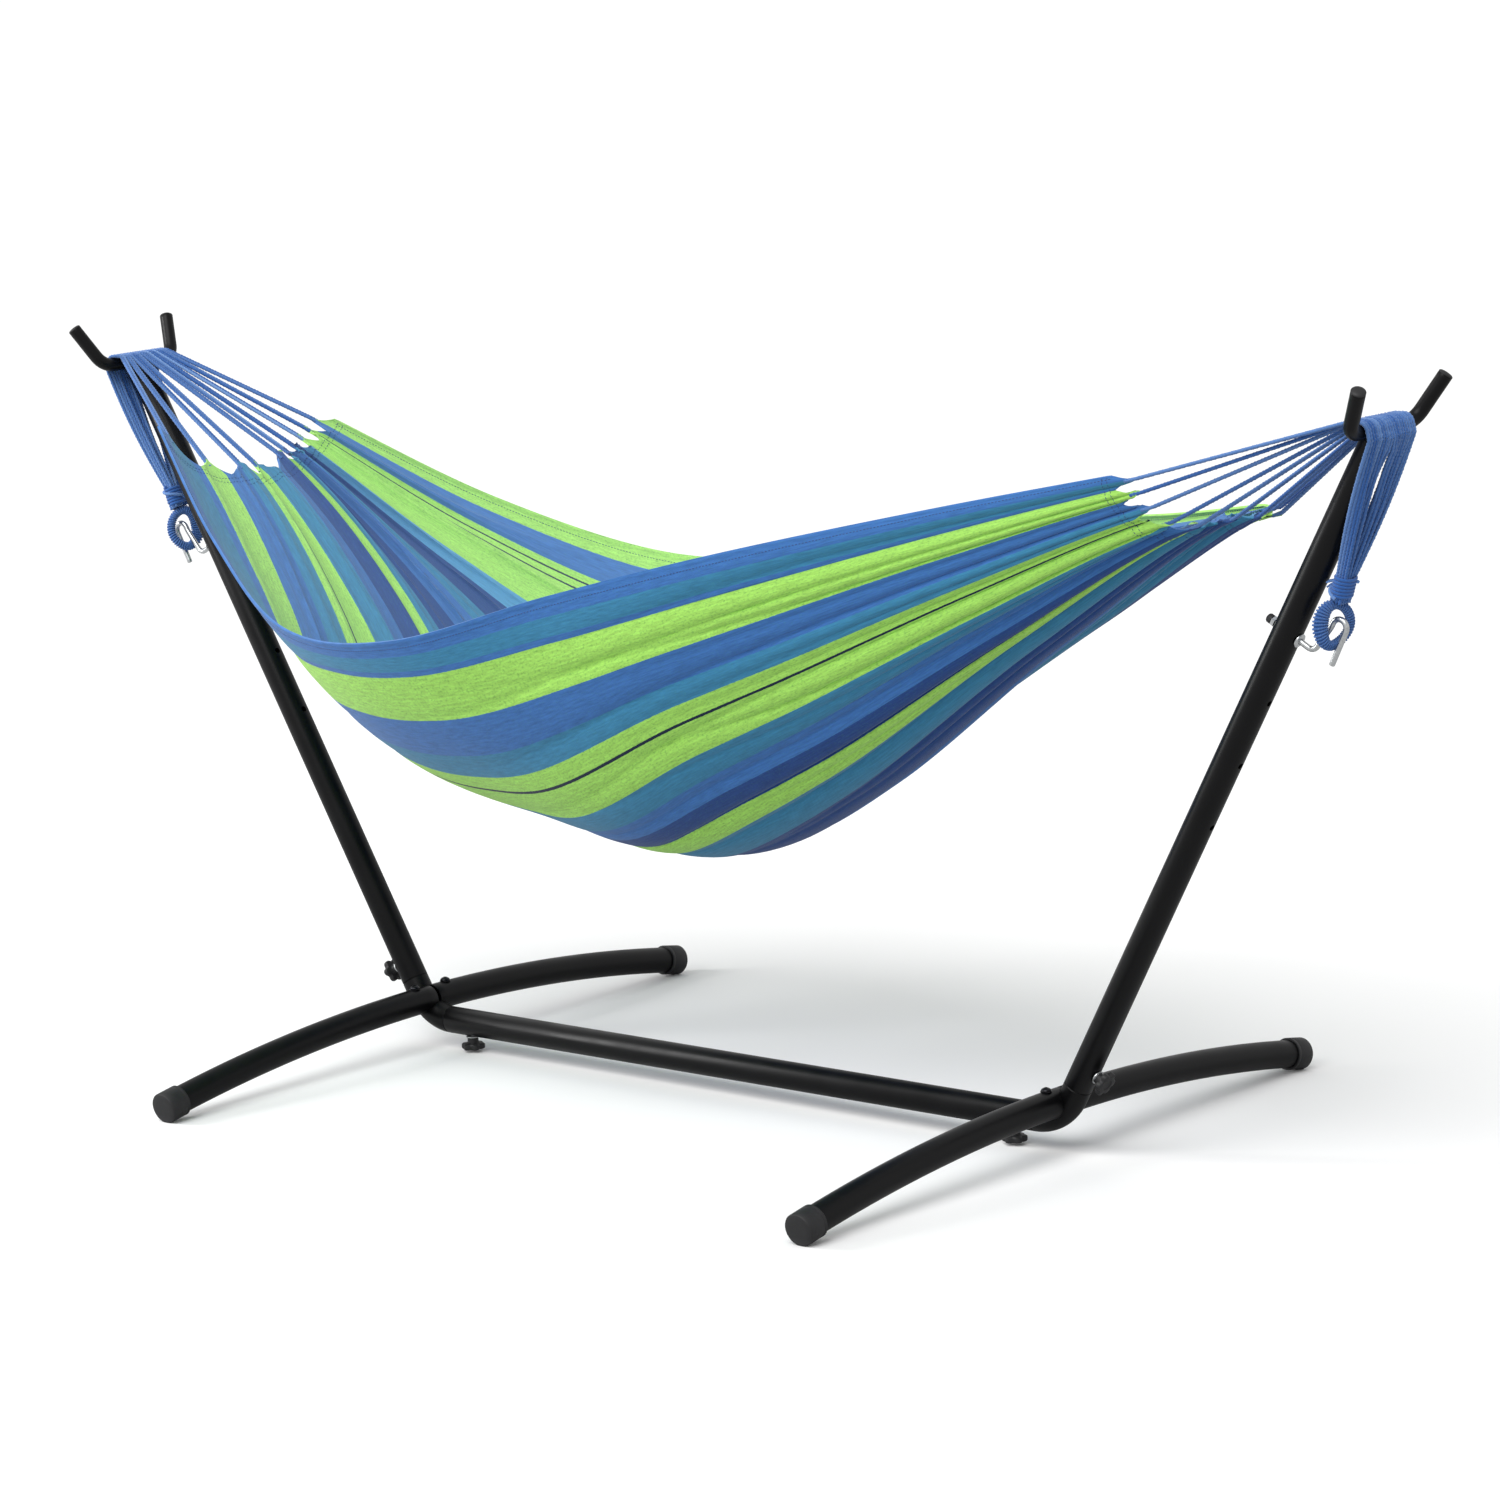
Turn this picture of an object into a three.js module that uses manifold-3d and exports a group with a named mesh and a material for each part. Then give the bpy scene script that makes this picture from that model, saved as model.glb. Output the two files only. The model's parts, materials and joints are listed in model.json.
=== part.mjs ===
// Double hammock on a tubular steel stand: two leaning uprights on arched feet, joined by one base
// tube, with a striped cloth hung by its strings from a forked hook at the top of each upright.
// Units are millimetres. X runs along the base tube, Z is up, and the origin is on the floor at
// the middle of the stand. Both ends of the stand are one function, turned half round for the left.
import * as THREE from "three";
import { mergeVertices } from "three/addons/utils/BufferGeometryUtils.js";
import Module from "manifold-3d";

// ---- Driving dimensions ----------------------------------------------------------------------
const TUBE_RADIUS = 20; // uprights, base and feet
const TUBE_WALL = 1.5;
const SLIP = 0.5; // radial clearance of a swaged end in its tube
const GAP = 0.3; // gap between pieces that touch
const FIT = 0.4; // radial clearance of a cap, stud or cut around its neighbour

const CORNER_SPREAD = 607; // half the distance between the two corners of the stand
const BASE_HEIGHT = 44; // axis of the base tube above the floor
const LEAN = THREE.MathUtils.degToRad(30); // uprights, off the vertical
const CORNER_RADIUS = 75; // centreline radius of the corner bend
const CORNER_WALL = 2;
const BASE_SPIGOT = 70; // length of the corner's end inside the base tube
const UPRIGHT_START = 62; // where the upright begins, along its own axis from the corner
const UPRIGHT_SPIGOT = 120; // length of the corner's end inside the upright
const UPRIGHT_TOP = 1104;

const FOOT_HALF_SPAN = 546; // from the corner to the outer face of a foot cap
const FOOT_APEX = 28; // foot axis above the base tube's axis, at the corner
const FOOT_STUB = 82; // reach of the corner's side stub inside a foot tube
const FOOT_COPE = 3; // where a foot tube starts, beside the corner's middle
const CAP_WALL = 2.6;
const CAP_END = 4;
const CAP_SLEEVE = 30;
const CAP_FLAT = 2; // depth of the flat that each cap stands on
const FOOT_BOLT_REACH = 32; // foot bolt, from the corner along the foot
const FOOT_BOLT_RADIUS = 3;
const FOOT_BOLT_HEAD = 7;

const SADDLE = UPRIGHT_TOP + 18; // axis of the hook's saddle, along the upright
const HOOK_ROD_RADIUS = 10;
const HOOK_ROD_WALL = 2;
const SADDLE_HALF = 70; // half the saddle, between the corners of its two prongs
const PRONG_RISE = 66;
const PRONG_SPLAY = 24;
const HOOK_BEND = 26;
const HOOK_COLLAR = 10;
const HOOK_PLUG = 60;
const TIP_DOME = 4;
const TIP_STEM = 12;

const BOLT_RADIUS = 4; // M8 hook bolts and knob studs
const WASHER_RADIUS = 10;
const WASHER_THICKNESS = 2;
const KNOB_RADIUS = 16;
const KNOB_LOBE = 1.4;
const KNOB_LOBES = 6;
const KNOB_HEAD = 9;
const KNOB_BOSS = 8;
const KNOB_BOSS_RADIUS = 8.5;
const STUD_END = 11; // where a stud stops, from the axis of the tube that it clamps
const STUD_IN_KNOB = 7;
const BASE_KNOB_REACH = 85; // base knob, from the corner along the base tube
const UPRIGHT_KNOB_REACH = 92; // upright knob, from the corner along the upright

const HOOK_BOLT_AT = UPRIGHT_TOP - 294; // hook bolt, along the upright
const HOLE_PITCH = 100; // the bolt's other holes, further down the upright
const HOLE_COUNT = 4;
const HOOK_BOLT_INNER = 34;
const NUT_RADIUS = 7.5;
const NUT_HEIGHT = 6.5;
const NUT_CAP_RADIUS = 6.5;
const NUT_CAP_LENGTH = 9;

const STRING_THICKNESS = 6;
const BAND_TOP_WIDTH = 2 * (SADDLE_HALF - 18);
const BAND_END_WIDTH = 40;
const BAND_ROUNDING = 12;
const BAND_FALL = 195; // where the band ends, down the upright from the saddle
const BAND_CLEAR = 42.2; // and out from the upright's axis
const WHIPPING_HALF = [11, 19];
const EYE_OUTER = [31, 33]; // half the eye's width and height
const EYE_INNER = [13, 19];
const EYE_THICKNESS = 7;
const EYE_RISE = 22; // the rope in the hook bolt, above the bolt's line
const EYE_TWIST = THREE.MathUtils.degToRad(25);
const STRING_START = 14.3; // where the swinging strings begin, in from the saddle's axis
const STRING_HEADER = 22;
const STRING_PAIR_RADIUS = 3.2;
const STRING_PAIRS = 10;

const CLOTH_THICKNESS = 5;
// The cloth, station by station along X: how wide it hangs, how high its rims are, how deep its
// belly hangs under them, how full its section is (1 is an ellipse, 2 is a parabola), and how far
// the back rim hangs below the front one.
const CLOTH_STATIONS = [
  { x: -950, halfWidth: 152, rim: 932, drop: 60, fullness: 1.7, tilt: 0 },
  { x: -700, halfWidth: 281, rim: 793, drop: 135, fullness: 1.9, tilt: 0 },
  { x: -450, halfWidth: 393, rim: 706, drop: 265, fullness: 1.9, tilt: 0 },
  { x: -200, halfWidth: 424, rim: 713, drop: 330, fullness: 1.7, tilt: 0 },
  { x: 50, halfWidth: 372, rim: 783, drop: 425, fullness: 1.4, tilt: 0 },
  { x: 300, halfWidth: 299, rim: 846, drop: 370, fullness: 1.3, tilt: 18 },
  { x: 600, halfWidth: 201, rim: 909, drop: 215, fullness: 1.1, tilt: 60 },
  { x: 870, halfWidth: 114, rim: 960, drop: 95, fullness: 1.0, tilt: 67 },
];
// How far along X each end of the cloth runs at its front rim, its middle and its back rim.
const LEFT_END = { front: -25, middle: 22, back: 10 };
const RIGHT_END = { front: -7, middle: 60, back: 56 };
const END_FADE = 6; // power with which an end's shape dies away along the cloth

// ---- Facets ----------------------------------------------------------------------------------
const TUBE_SIDES = 20;
const ROD_SIDES = 10;
const BEND_STEPS = 8;
const ARC_STEPS = 6;
const HOOK_STEPS = 24;
const BOLT_STEPS = 26;
const BAND_STEPS = 24;
const CLOTH_STEPS_LONG = 20;
const CLOTH_STEPS_ACROSS = 16;

// ---- Materials -------------------------------------------------------------------------------
function finish(color, roughness, metalness) {
  return new THREE.MeshStandardMaterial({ color, roughness, metalness });
}
const powderCoat = () => finish(0x17171a, 0.45, 0.2);
const blackPlastic = () => finish(0x101012, 0.6, 0);
const zincPlate = () => finish(0xc3c7cb, 0.35, 0.9);
const blueString = () => finish(0x3f6fb8, 0.9, 0);
const stripedCloth = () => finish(0x6fae6a, 0.95, 0);

// ---- Solids ----------------------------------------------------------------------------------
const wasm = await Module();
wasm.setup();

// A closed three.js geometry as a solid that can be joined and cut.
function solidOf(geometry) {
  const bare = geometry.index ? geometry.toNonIndexed() : geometry.clone();
  bare.deleteAttribute("normal");
  bare.deleteAttribute("uv");
  const merged = mergeVertices(bare);
  return new wasm.Manifold(new wasm.Mesh({
    numProp: 3,
    vertProperties: new Float32Array(merged.attributes.position.array),
    triVerts: new Uint32Array(merged.index.array),
  }));
}

function meshOf(name, solid, material) {
  const { vertProperties, triVerts } = solid.getMesh();
  const geometry = new THREE.BufferGeometry();
  geometry.setAttribute("position", new THREE.Float32BufferAttribute(vertProperties, 3));
  geometry.setIndex(new THREE.Uint32BufferAttribute(triVerts, 1));
  geometry.computeVertexNormals();
  const mesh = new THREE.Mesh(geometry, material);
  mesh.name = name;
  return mesh;
}

const union = (solids) => solids.reduce((all, solid) => all.add(solid));

function ringPoints(radius, sides) {
  const points = [];
  for (let i = 0; i < sides; i += 1) {
    const angle = (2 * Math.PI * i) / sides;
    points.push(new THREE.Vector2(radius * Math.cos(angle), radius * Math.sin(angle)));
  }
  return points;
}

// A disc, or a ring where it has an inner radius.
function discShape(radius, sides, innerRadius = 0) {
  const shape = new THREE.Shape(ringPoints(radius, sides));
  if (innerRadius > 0) shape.holes.push(new THREE.Path(ringPoints(innerRadius, sides)));
  return shape;
}

// A round rod from one point to another.
function rod(from, to, radius, sides = TUBE_SIDES) {
  const axis = new THREE.Vector3().subVectors(to, from);
  const geometry = new THREE.CylinderGeometry(radius, radius, axis.length(), sides);
  const turn = new THREE.Quaternion();
  turn.setFromUnitVectors(new THREE.Vector3(0, 1, 0), axis.clone().normalize());
  const middle = new THREE.Vector3().addVectors(from, to).multiplyScalar(0.5);
  geometry.applyQuaternion(turn);
  geometry.translate(middle.x, middle.y, middle.z);
  return solidOf(geometry);
}

// A flat path carried into space: its x runs along one axis and its y along the other.
class PlaneCurve extends THREE.Curve {
  constructor(path, xAxis, yAxis) {
    super();
    this.path = path;
    this.xAxis = xAxis;
    this.yAxis = yAxis;
  }

  getPoint(t, target = new THREE.Vector3()) {
    const point = this.path.getPoint(t);
    return target.copy(this.xAxis).multiplyScalar(point.x).addScaledVector(this.yAxis, point.y);
  }
}

// A run of straight lines with its corners rounded.
function roundedPath(points, bend) {
  const path = new THREE.Path().moveTo(points[0].x, points[0].y);
  for (let i = 1; i < points.length - 1; i += 1) {
    const inward = points[i - 1].clone().sub(points[i]);
    const onward = points[i + 1].clone().sub(points[i]);
    const turn = Math.PI - inward.angleTo(onward);
    const cut = Math.min(bend * Math.tan(turn / 2), inward.length() / 2, onward.length() / 2);
    const before = points[i].clone().addScaledVector(inward.normalize(), cut);
    const after = points[i].clone().addScaledVector(onward.normalize(), cut);
    path.lineTo(before.x, before.y);
    path.quadraticCurveTo(points[i].x, points[i].y, after.x, after.y);
  }
  const last = points[points.length - 1];
  return path.lineTo(last.x, last.y);
}

function sweep(shape, curve, steps) {
  return solidOf(new THREE.ExtrudeGeometry(shape, { steps, extrudePath: curve, bevelEnabled: false }));
}

// ---- The frame of one end: the corner is the origin, and the upright leans towards +X ----------
const X = new THREE.Vector3(1, 0, 0);
const Y = new THREE.Vector3(0, 1, 0);
const Z = new THREE.Vector3(0, 0, 1);
const ALONG = new THREE.Vector3(Math.sin(LEAN), 0, Math.cos(LEAN)); // up the upright
const OUTWARD = new THREE.Vector3(Math.cos(LEAN), 0, -Math.sin(LEAN)); // square to it, away
function onUpright(along, outward = 0) {
  return ALONG.clone().multiplyScalar(along).addScaledVector(OUTWARD, outward);
}
const inPlane = (x, z) => new THREE.Vector3(x, 0, z);

const SPIGOT_RADIUS = TUBE_RADIUS - TUBE_WALL - SLIP;
const BEND_ANGLE = Math.PI / 2 - LEAN;
const BEND_TANGENT = CORNER_RADIUS * Math.tan(BEND_ANGLE / 2);
const HOLE_RADIUS = BOLT_RADIUS + FIT;
const CAP_RADIUS = TUBE_RADIUS + FIT + CAP_WALL;

// The corner's bend with a straight run at each end, as one round bar.
function cornerBar(bendRadius, baseRadius, baseEnd, uprightRadius, uprightEnd) {
  const path = new THREE.Path().moveTo(-BEND_TANGENT, 0);
  path.absarc(-BEND_TANGENT, CORNER_RADIUS, CORNER_RADIUS, -Math.PI / 2, BEND_ANGLE - Math.PI / 2, false);
  const bend = sweep(discShape(bendRadius, TUBE_SIDES), new PlaneCurve(path, X, Z), BEND_STEPS);
  const base = rod(inPlane(-baseEnd, 0), inPlane(-BEND_TANGENT + 1, 0), baseRadius);
  const upright = rod(onUpright(BEND_TANGENT - 1), onUpright(uprightEnd), uprightRadius);
  return union([bend, base, upright]);
}

// The arc that both feet of one end follow, down from its top over the corner.
const FOOT_DROP = FOOT_APEX + BASE_HEIGHT - (CAP_RADIUS - CAP_FLAT);
const FOOT_RADIUS = (FOOT_HALF_SPAN ** 2 + FOOT_DROP ** 2) / (2 * FOOT_DROP);
const footAngle = (reach) => Math.PI / 2 - Math.asin(reach / FOOT_RADIUS);

function footArc(shape, start, end) {
  const path = new THREE.Path();
  path.absarc(0, FOOT_APEX - FOOT_RADIUS, FOOT_RADIUS, footAngle(start), footAngle(end), true);
  return sweep(shape, new PlaneCurve(path, Y, Z), ARC_STEPS);
}

function cornerJoint(name) {
  const bar = cornerBar(
    TUBE_RADIUS, SPIGOT_RADIUS, BEND_TANGENT + BASE_SPIGOT, TUBE_RADIUS, UPRIGHT_START - GAP,
  );
  const spigot = rod(onUpright(BEND_TANGENT), onUpright(UPRIGHT_START + UPRIGHT_SPIGOT), SPIGOT_RADIUS);
  const stubs = footArc(discShape(SPIGOT_RADIUS, TUBE_SIDES), -FOOT_STUB, FOOT_STUB);
  const boreRadius = SPIGOT_RADIUS - CORNER_WALL;
  const bore = cornerBar(
    boreRadius, boreRadius, BEND_TANGENT + BASE_SPIGOT + 1, boreRadius, UPRIGHT_START + UPRIGHT_SPIGOT + 1,
  );
  const stubBore = footArc(discShape(boreRadius - 1, TUBE_SIDES), -FOOT_STUB - 1, FOOT_STUB + 1);
  const baseHole = rod(
    inPlane(-BASE_KNOB_REACH, 0), inPlane(-BASE_KNOB_REACH, -TUBE_RADIUS), HOLE_RADIUS, ROD_SIDES,
  );
  const uprightHole = rod(
    onUpright(UPRIGHT_KNOB_REACH), onUpright(UPRIGHT_KNOB_REACH, TUBE_RADIUS), HOLE_RADIUS, ROD_SIDES,
  );
  const bolts = union([footBoltHole(1), footBoltHole(-1)]);
  const cuts = union([bore, stubBore, baseHole, uprightHole, bolts]);
  return meshOf(name, union([bar, spigot, stubs]).subtract(cuts), powderCoat());
}

function footBoltHole(side) {
  const foot = new THREE.Vector3(0, side * FOOT_BOLT_REACH, FOOT_APEX);
  const above = foot.clone().addScaledVector(Z, 2 * TUBE_RADIUS);
  return rod(foot, above, FOOT_BOLT_RADIUS + FIT, ROD_SIDES);
}

function footTube(name, side) {
  const section = discShape(TUBE_RADIUS, TUBE_SIDES, TUBE_RADIUS - TUBE_WALL);
  const tube = footArc(section, FOOT_COPE, FOOT_HALF_SPAN - CAP_END - 1);
  const cope = TUBE_RADIUS + FIT;
  const corner = cornerBar(cope, cope, 2 * BEND_TANGENT, cope, UPRIGHT_START + 2 * TUBE_RADIUS);
  const placed = side > 0 ? tube : tube.mirror([0, 1, 0]);
  return meshOf(name, placed.subtract(corner).subtract(footBoltHole(side)), powderCoat());
}

// A foot cap: a sleeve over the tube's end, closed outside, with a flat where it meets the floor.
function footCap(name, side) {
  const bore = TUBE_RADIUS + FIT;
  const profile = [
    [0, 0], [bore, 0], [bore, -CAP_SLEEVE], [CAP_RADIUS - 1, -CAP_SLEEVE], [CAP_RADIUS, 1 - CAP_SLEEVE],
    [CAP_RADIUS, CAP_END - 1.5], [CAP_RADIUS - 1.5, CAP_END], [0, CAP_END],
  ].map(([radius, height]) => new THREE.Vector2(radius, height));
  const geometry = new THREE.LatheGeometry(profile, TUBE_SIDES);
  const slope = Math.asin((FOOT_HALF_SPAN - CAP_SLEEVE / 2) / FOOT_RADIUS);
  const outward = new THREE.Vector3(0, side * Math.cos(slope), -Math.sin(slope));
  geometry.applyQuaternion(new THREE.Quaternion().setFromUnitVectors(Y, outward));
  const reach = FOOT_HALF_SPAN - CAP_END;
  const height = FOOT_APEX - FOOT_RADIUS + Math.sqrt(FOOT_RADIUS ** 2 - reach ** 2);
  geometry.translate(0, side * reach, height);
  const floor = new THREE.BoxGeometry(4 * CAP_RADIUS, 4 * FOOT_HALF_SPAN, CAP_RADIUS);
  floor.translate(0, 0, -BASE_HEIGHT - CAP_RADIUS / 2);
  return meshOf(name, solidOf(geometry).subtract(solidOf(floor)), blackPlastic());
}

// A dome-headed bolt that holds a foot tube on the corner's stub.
function footBolt(name, side) {
  const seat = FOOT_APEX + TUBE_RADIUS + GAP;
  const arc = [];
  for (let i = 0; i <= 4; i += 1) {
    const angle = (Math.PI / 2) * (i / 4);
    arc.push(new THREE.Vector2(FOOT_BOLT_HEAD * Math.cos(angle), 0.7 * FOOT_BOLT_HEAD * Math.sin(angle)));
  }
  arc[arc.length - 1].x = 0;
  const tip = -TUBE_WALL - SLIP - CORNER_WALL - 2;
  const profile = [new THREE.Vector2(0, tip), new THREE.Vector2(FOOT_BOLT_RADIUS, tip)];
  profile.push(new THREE.Vector2(FOOT_BOLT_RADIUS, 0), ...arc);
  const geometry = new THREE.LatheGeometry(profile, ROD_SIDES);
  geometry.rotateX(Math.PI / 2);
  geometry.translate(0, side * FOOT_BOLT_REACH, seat);
  return meshOf(name, solidOf(geometry), blackPlastic());
}

function upright(name) {
  const outer = rod(onUpright(UPRIGHT_START), onUpright(UPRIGHT_TOP), TUBE_RADIUS);
  const bore = rod(onUpright(UPRIGHT_START - 1), onUpright(UPRIGHT_TOP + 1), TUBE_RADIUS - TUBE_WALL);
  const holes = [];
  for (let i = 0; i < HOLE_COUNT; i += 1) {
    const along = HOOK_BOLT_AT - i * HOLE_PITCH;
    const inner = onUpright(along, -2 * TUBE_RADIUS);
    holes.push(rod(inner, onUpright(along, 2 * TUBE_RADIUS), HOLE_RADIUS, ROD_SIDES));
  }
  const knobHole = onUpright(UPRIGHT_KNOB_REACH);
  holes.push(rod(knobHole, onUpright(UPRIGHT_KNOB_REACH, 2 * TUBE_RADIUS), HOLE_RADIUS, ROD_SIDES));
  return meshOf(name, outer.subtract(union([bore, ...holes])), powderCoat());
}

// ---- The forked hook at the top ----------------------------------------------------------------
const PRONG = new THREE.Vector2(PRONG_SPLAY, PRONG_RISE);

function forkedHook(name) {
  const tip = new THREE.Vector2(SADDLE_HALF, SADDLE).add(PRONG);
  const corners = [
    new THREE.Vector2(-tip.x, tip.y), new THREE.Vector2(-SADDLE_HALF, SADDLE),
    new THREE.Vector2(SADDLE_HALF, SADDLE), tip,
  ];
  const curve = new PlaneCurve(roundedPath(corners, HOOK_BEND), Y, ALONG);
  const bar = sweep(discShape(HOOK_ROD_RADIUS, ROD_SIDES), curve, HOOK_STEPS);
  const bore = sweep(discShape(HOOK_ROD_RADIUS - HOOK_ROD_WALL, ROD_SIDES), curve, HOOK_STEPS);
  const collar = rod(onUpright(UPRIGHT_TOP + GAP), onUpright(UPRIGHT_TOP + HOOK_COLLAR), TUBE_RADIUS);
  const plug = rod(onUpright(UPRIGHT_TOP - HOOK_PLUG), onUpright(UPRIGHT_TOP + 1), SPIGOT_RADIUS);
  const hollow = rod(
    onUpright(UPRIGHT_TOP - HOOK_PLUG - 1), onUpright(UPRIGHT_TOP - 2), SPIGOT_RADIUS - CORNER_WALL,
  );
  return meshOf(name, union([bar, collar, plug]).subtract(bore.add(hollow)), powderCoat());
}

// A plug with a low dome that closes one prong.
function hookTip(name, side) {
  const stem = HOOK_ROD_RADIUS - HOOK_ROD_WALL - FIT;
  const profile = [
    [0, -TIP_STEM], [stem, -TIP_STEM], [stem, GAP], [HOOK_ROD_RADIUS, GAP],
    [HOOK_ROD_RADIUS - 0.4, TIP_DOME / 2], [HOOK_ROD_RADIUS - 3, TIP_DOME], [0, TIP_DOME],
  ].map(([radius, height]) => new THREE.Vector2(radius, height));
  const geometry = new THREE.LatheGeometry(profile, ROD_SIDES);
  const outward = new THREE.Vector3(0, side * PRONG_SPLAY, 0);
  outward.addScaledVector(ALONG, PRONG_RISE).normalize();
  const end = onUpright(SADDLE + PRONG_RISE);
  end.addScaledVector(Y, side * (SADDLE_HALF + PRONG_SPLAY));
  geometry.applyQuaternion(new THREE.Quaternion().setFromUnitVectors(Y, outward));
  geometry.translate(end.x, end.y, end.z);
  return meshOf(name, solidOf(geometry), blackPlastic());
}

// ---- Clamping knobs: a star knob on its stud, over a washer, pointing along +Z -----------------
function washerSolid() {
  const geometry = new THREE.ExtrudeGeometry(discShape(WASHER_RADIUS, ROD_SIDES, HOLE_RADIUS), {
    depth: WASHER_THICKNESS,
    bevelEnabled: false,
  });
  geometry.translate(0, 0, TUBE_RADIUS + GAP);
  return solidOf(geometry);
}

function starKnob() {
  const seat = TUBE_RADIUS + WASHER_THICKNESS + 2 * GAP;
  const outline = [];
  const points = 6 * KNOB_LOBES;
  for (let i = 0; i < points; i += 1) {
    const angle = (2 * Math.PI * i) / points;
    const radius = KNOB_RADIUS + KNOB_LOBE * Math.cos(KNOB_LOBES * angle);
    outline.push(new THREE.Vector2(radius * Math.cos(angle), radius * Math.sin(angle)));
  }
  const star = new THREE.Shape(outline);
  const head = new THREE.ExtrudeGeometry(star, { depth: KNOB_HEAD, bevelEnabled: false });
  head.translate(0, 0, seat + KNOB_BOSS);
  const up = (height) => new THREE.Vector3(0, 0, height);
  const boss = rod(up(seat), up(seat + KNOB_BOSS + 1), KNOB_BOSS_RADIUS);
  const bore = rod(up(seat - 1), up(seat + STUD_IN_KNOB + GAP), HOLE_RADIUS, ROD_SIDES);
  const stud = rod(up(STUD_END), up(seat + STUD_IN_KNOB), BOLT_RADIUS, ROD_SIDES);
  return { knob: solidOf(head).add(boss).subtract(bore), stud };
}

function knobSet(name) {
  const { knob, stud } = starKnob();
  const group = new THREE.Group();
  group.add(meshOf(`${name}_knob`, knob, blackPlastic()));
  group.add(meshOf(`${name}_stud`, stud, zincPlate()));
  group.add(meshOf(`${name}_washer`, washerSolid(), zincPlate()));
  return group;
}

// ---- The hook bolt through the upright ---------------------------------------------------------
// Its outline is in the upright's own frame: outward from the upright's axis, and up along it.
const CROOK_INNER = TUBE_RADIUS + 34;
const CROOK_RADIUS = 11;
const CROOK_HEIGHT = 50;
const CROOK_FLARE = 2; // the crook's outer leg slopes out by this much
const HOOK_BOLT_BEND = 14;
const BEND_START = TUBE_RADIUS + 12; // where the rod leaves its straight run
const BEND_CORNER = TUBE_RADIUS + 26;
const BEND_END = TUBE_RADIUS + 28;

function hookBolt(name) {
  const path = new THREE.Path().moveTo(-HOOK_BOLT_INNER, 0).lineTo(BEND_START, 0);
  path.quadraticCurveTo(BEND_CORNER, 0, BEND_END, HOOK_BOLT_BEND);
  path.lineTo(CROOK_INNER, CROOK_HEIGHT);
  path.absarc(CROOK_INNER + CROOK_RADIUS, CROOK_HEIGHT, CROOK_RADIUS, Math.PI, 0, true);
  path.lineTo(CROOK_INNER + 2 * CROOK_RADIUS + CROOK_FLARE, 0);
  const bar = sweep(discShape(BOLT_RADIUS, ROD_SIDES), new PlaneCurve(path, OUTWARD, ALONG), BOLT_STEPS);
  const seat = onUpright(HOOK_BOLT_AT);
  return meshOf(name, bar.translate([seat.x, seat.y, seat.z]), zincPlate());
}

// A nut and its cap on the bolt's inner end, pointing along +Z.
function hookBoltNut(name) {
  const hexagon = discShape(NUT_RADIUS, 6);
  const nut = new THREE.ExtrudeGeometry(hexagon, { depth: NUT_HEIGHT, bevelEnabled: false });
  nut.translate(0, 0, TUBE_RADIUS + GAP);
  const inner = new THREE.Vector3(0, 0, 0);
  const bore = rod(inner, new THREE.Vector3(0, 0, 2 * TUBE_RADIUS), HOLE_RADIUS, ROD_SIDES);
  return meshOf(name, solidOf(nut).subtract(bore), zincPlate());
}

function hookBoltCap(name) {
  const start = TUBE_RADIUS + NUT_HEIGHT + 2 * GAP;
  const profile = [
    [HOLE_RADIUS, start], [NUT_CAP_RADIUS, start], [NUT_CAP_RADIUS, start + NUT_CAP_LENGTH - 3],
    [NUT_CAP_RADIUS - 3, start + NUT_CAP_LENGTH], [0, start + NUT_CAP_LENGTH],
    [0, HOOK_BOLT_INNER + GAP], [HOLE_RADIUS, HOOK_BOLT_INNER + GAP], [HOLE_RADIUS, start],
  ].map(([radius, height]) => new THREE.Vector2(radius, height));
  const geometry = new THREE.LatheGeometry(profile, ROD_SIDES);
  geometry.rotateX(Math.PI / 2);
  return meshOf(name, solidOf(geometry), blackPlastic());
}

// ---- The strings that stay on the stand --------------------------------------------------------
// They cross the saddle side by side, drop behind the upright and end in a whipped eye that hangs
// in the hook bolt.
const SADDLE_AXIS = onUpright(SADDLE);
const BAND_FOOT = onUpright(-BAND_FALL, BAND_CLEAR);
const BAND_ROUTE = [[-STRING_START, 12], [8, 16], [20, 2], [20, -22], [BAND_FOOT.x, BAND_FOOT.z]]
  .map(([x, z]) => new THREE.Vector2(x, z)); // from the saddle's axis
const BAND_END = inPlane(BAND_ROUTE.at(-1).x, BAND_ROUTE.at(-1).y).add(SADDLE_AXIS);
const EYE_FOOT = onUpright(HOOK_BOLT_AT + EYE_RISE, CROOK_INNER + CROOK_RADIUS);
const EYE_UP = BAND_END.clone().sub(EYE_FOOT).normalize();
const EYE_CENTRE = EYE_FOOT.clone().addScaledVector(EYE_UP, (EYE_OUTER[1] + EYE_INNER[1]) / 2);

// Turns a shape so that its own y runs along one axis and its z faces another, then places it.
function place(geometry, yAxis, zAxis, point) {
  const xAxis = new THREE.Vector3().crossVectors(yAxis, zAxis).normalize();
  const facing = new THREE.Vector3().crossVectors(xAxis, yAxis).normalize();
  geometry.applyMatrix4(new THREE.Matrix4().makeBasis(xAxis, yAxis, facing).setPosition(point));
  return solidOf(geometry);
}

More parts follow.
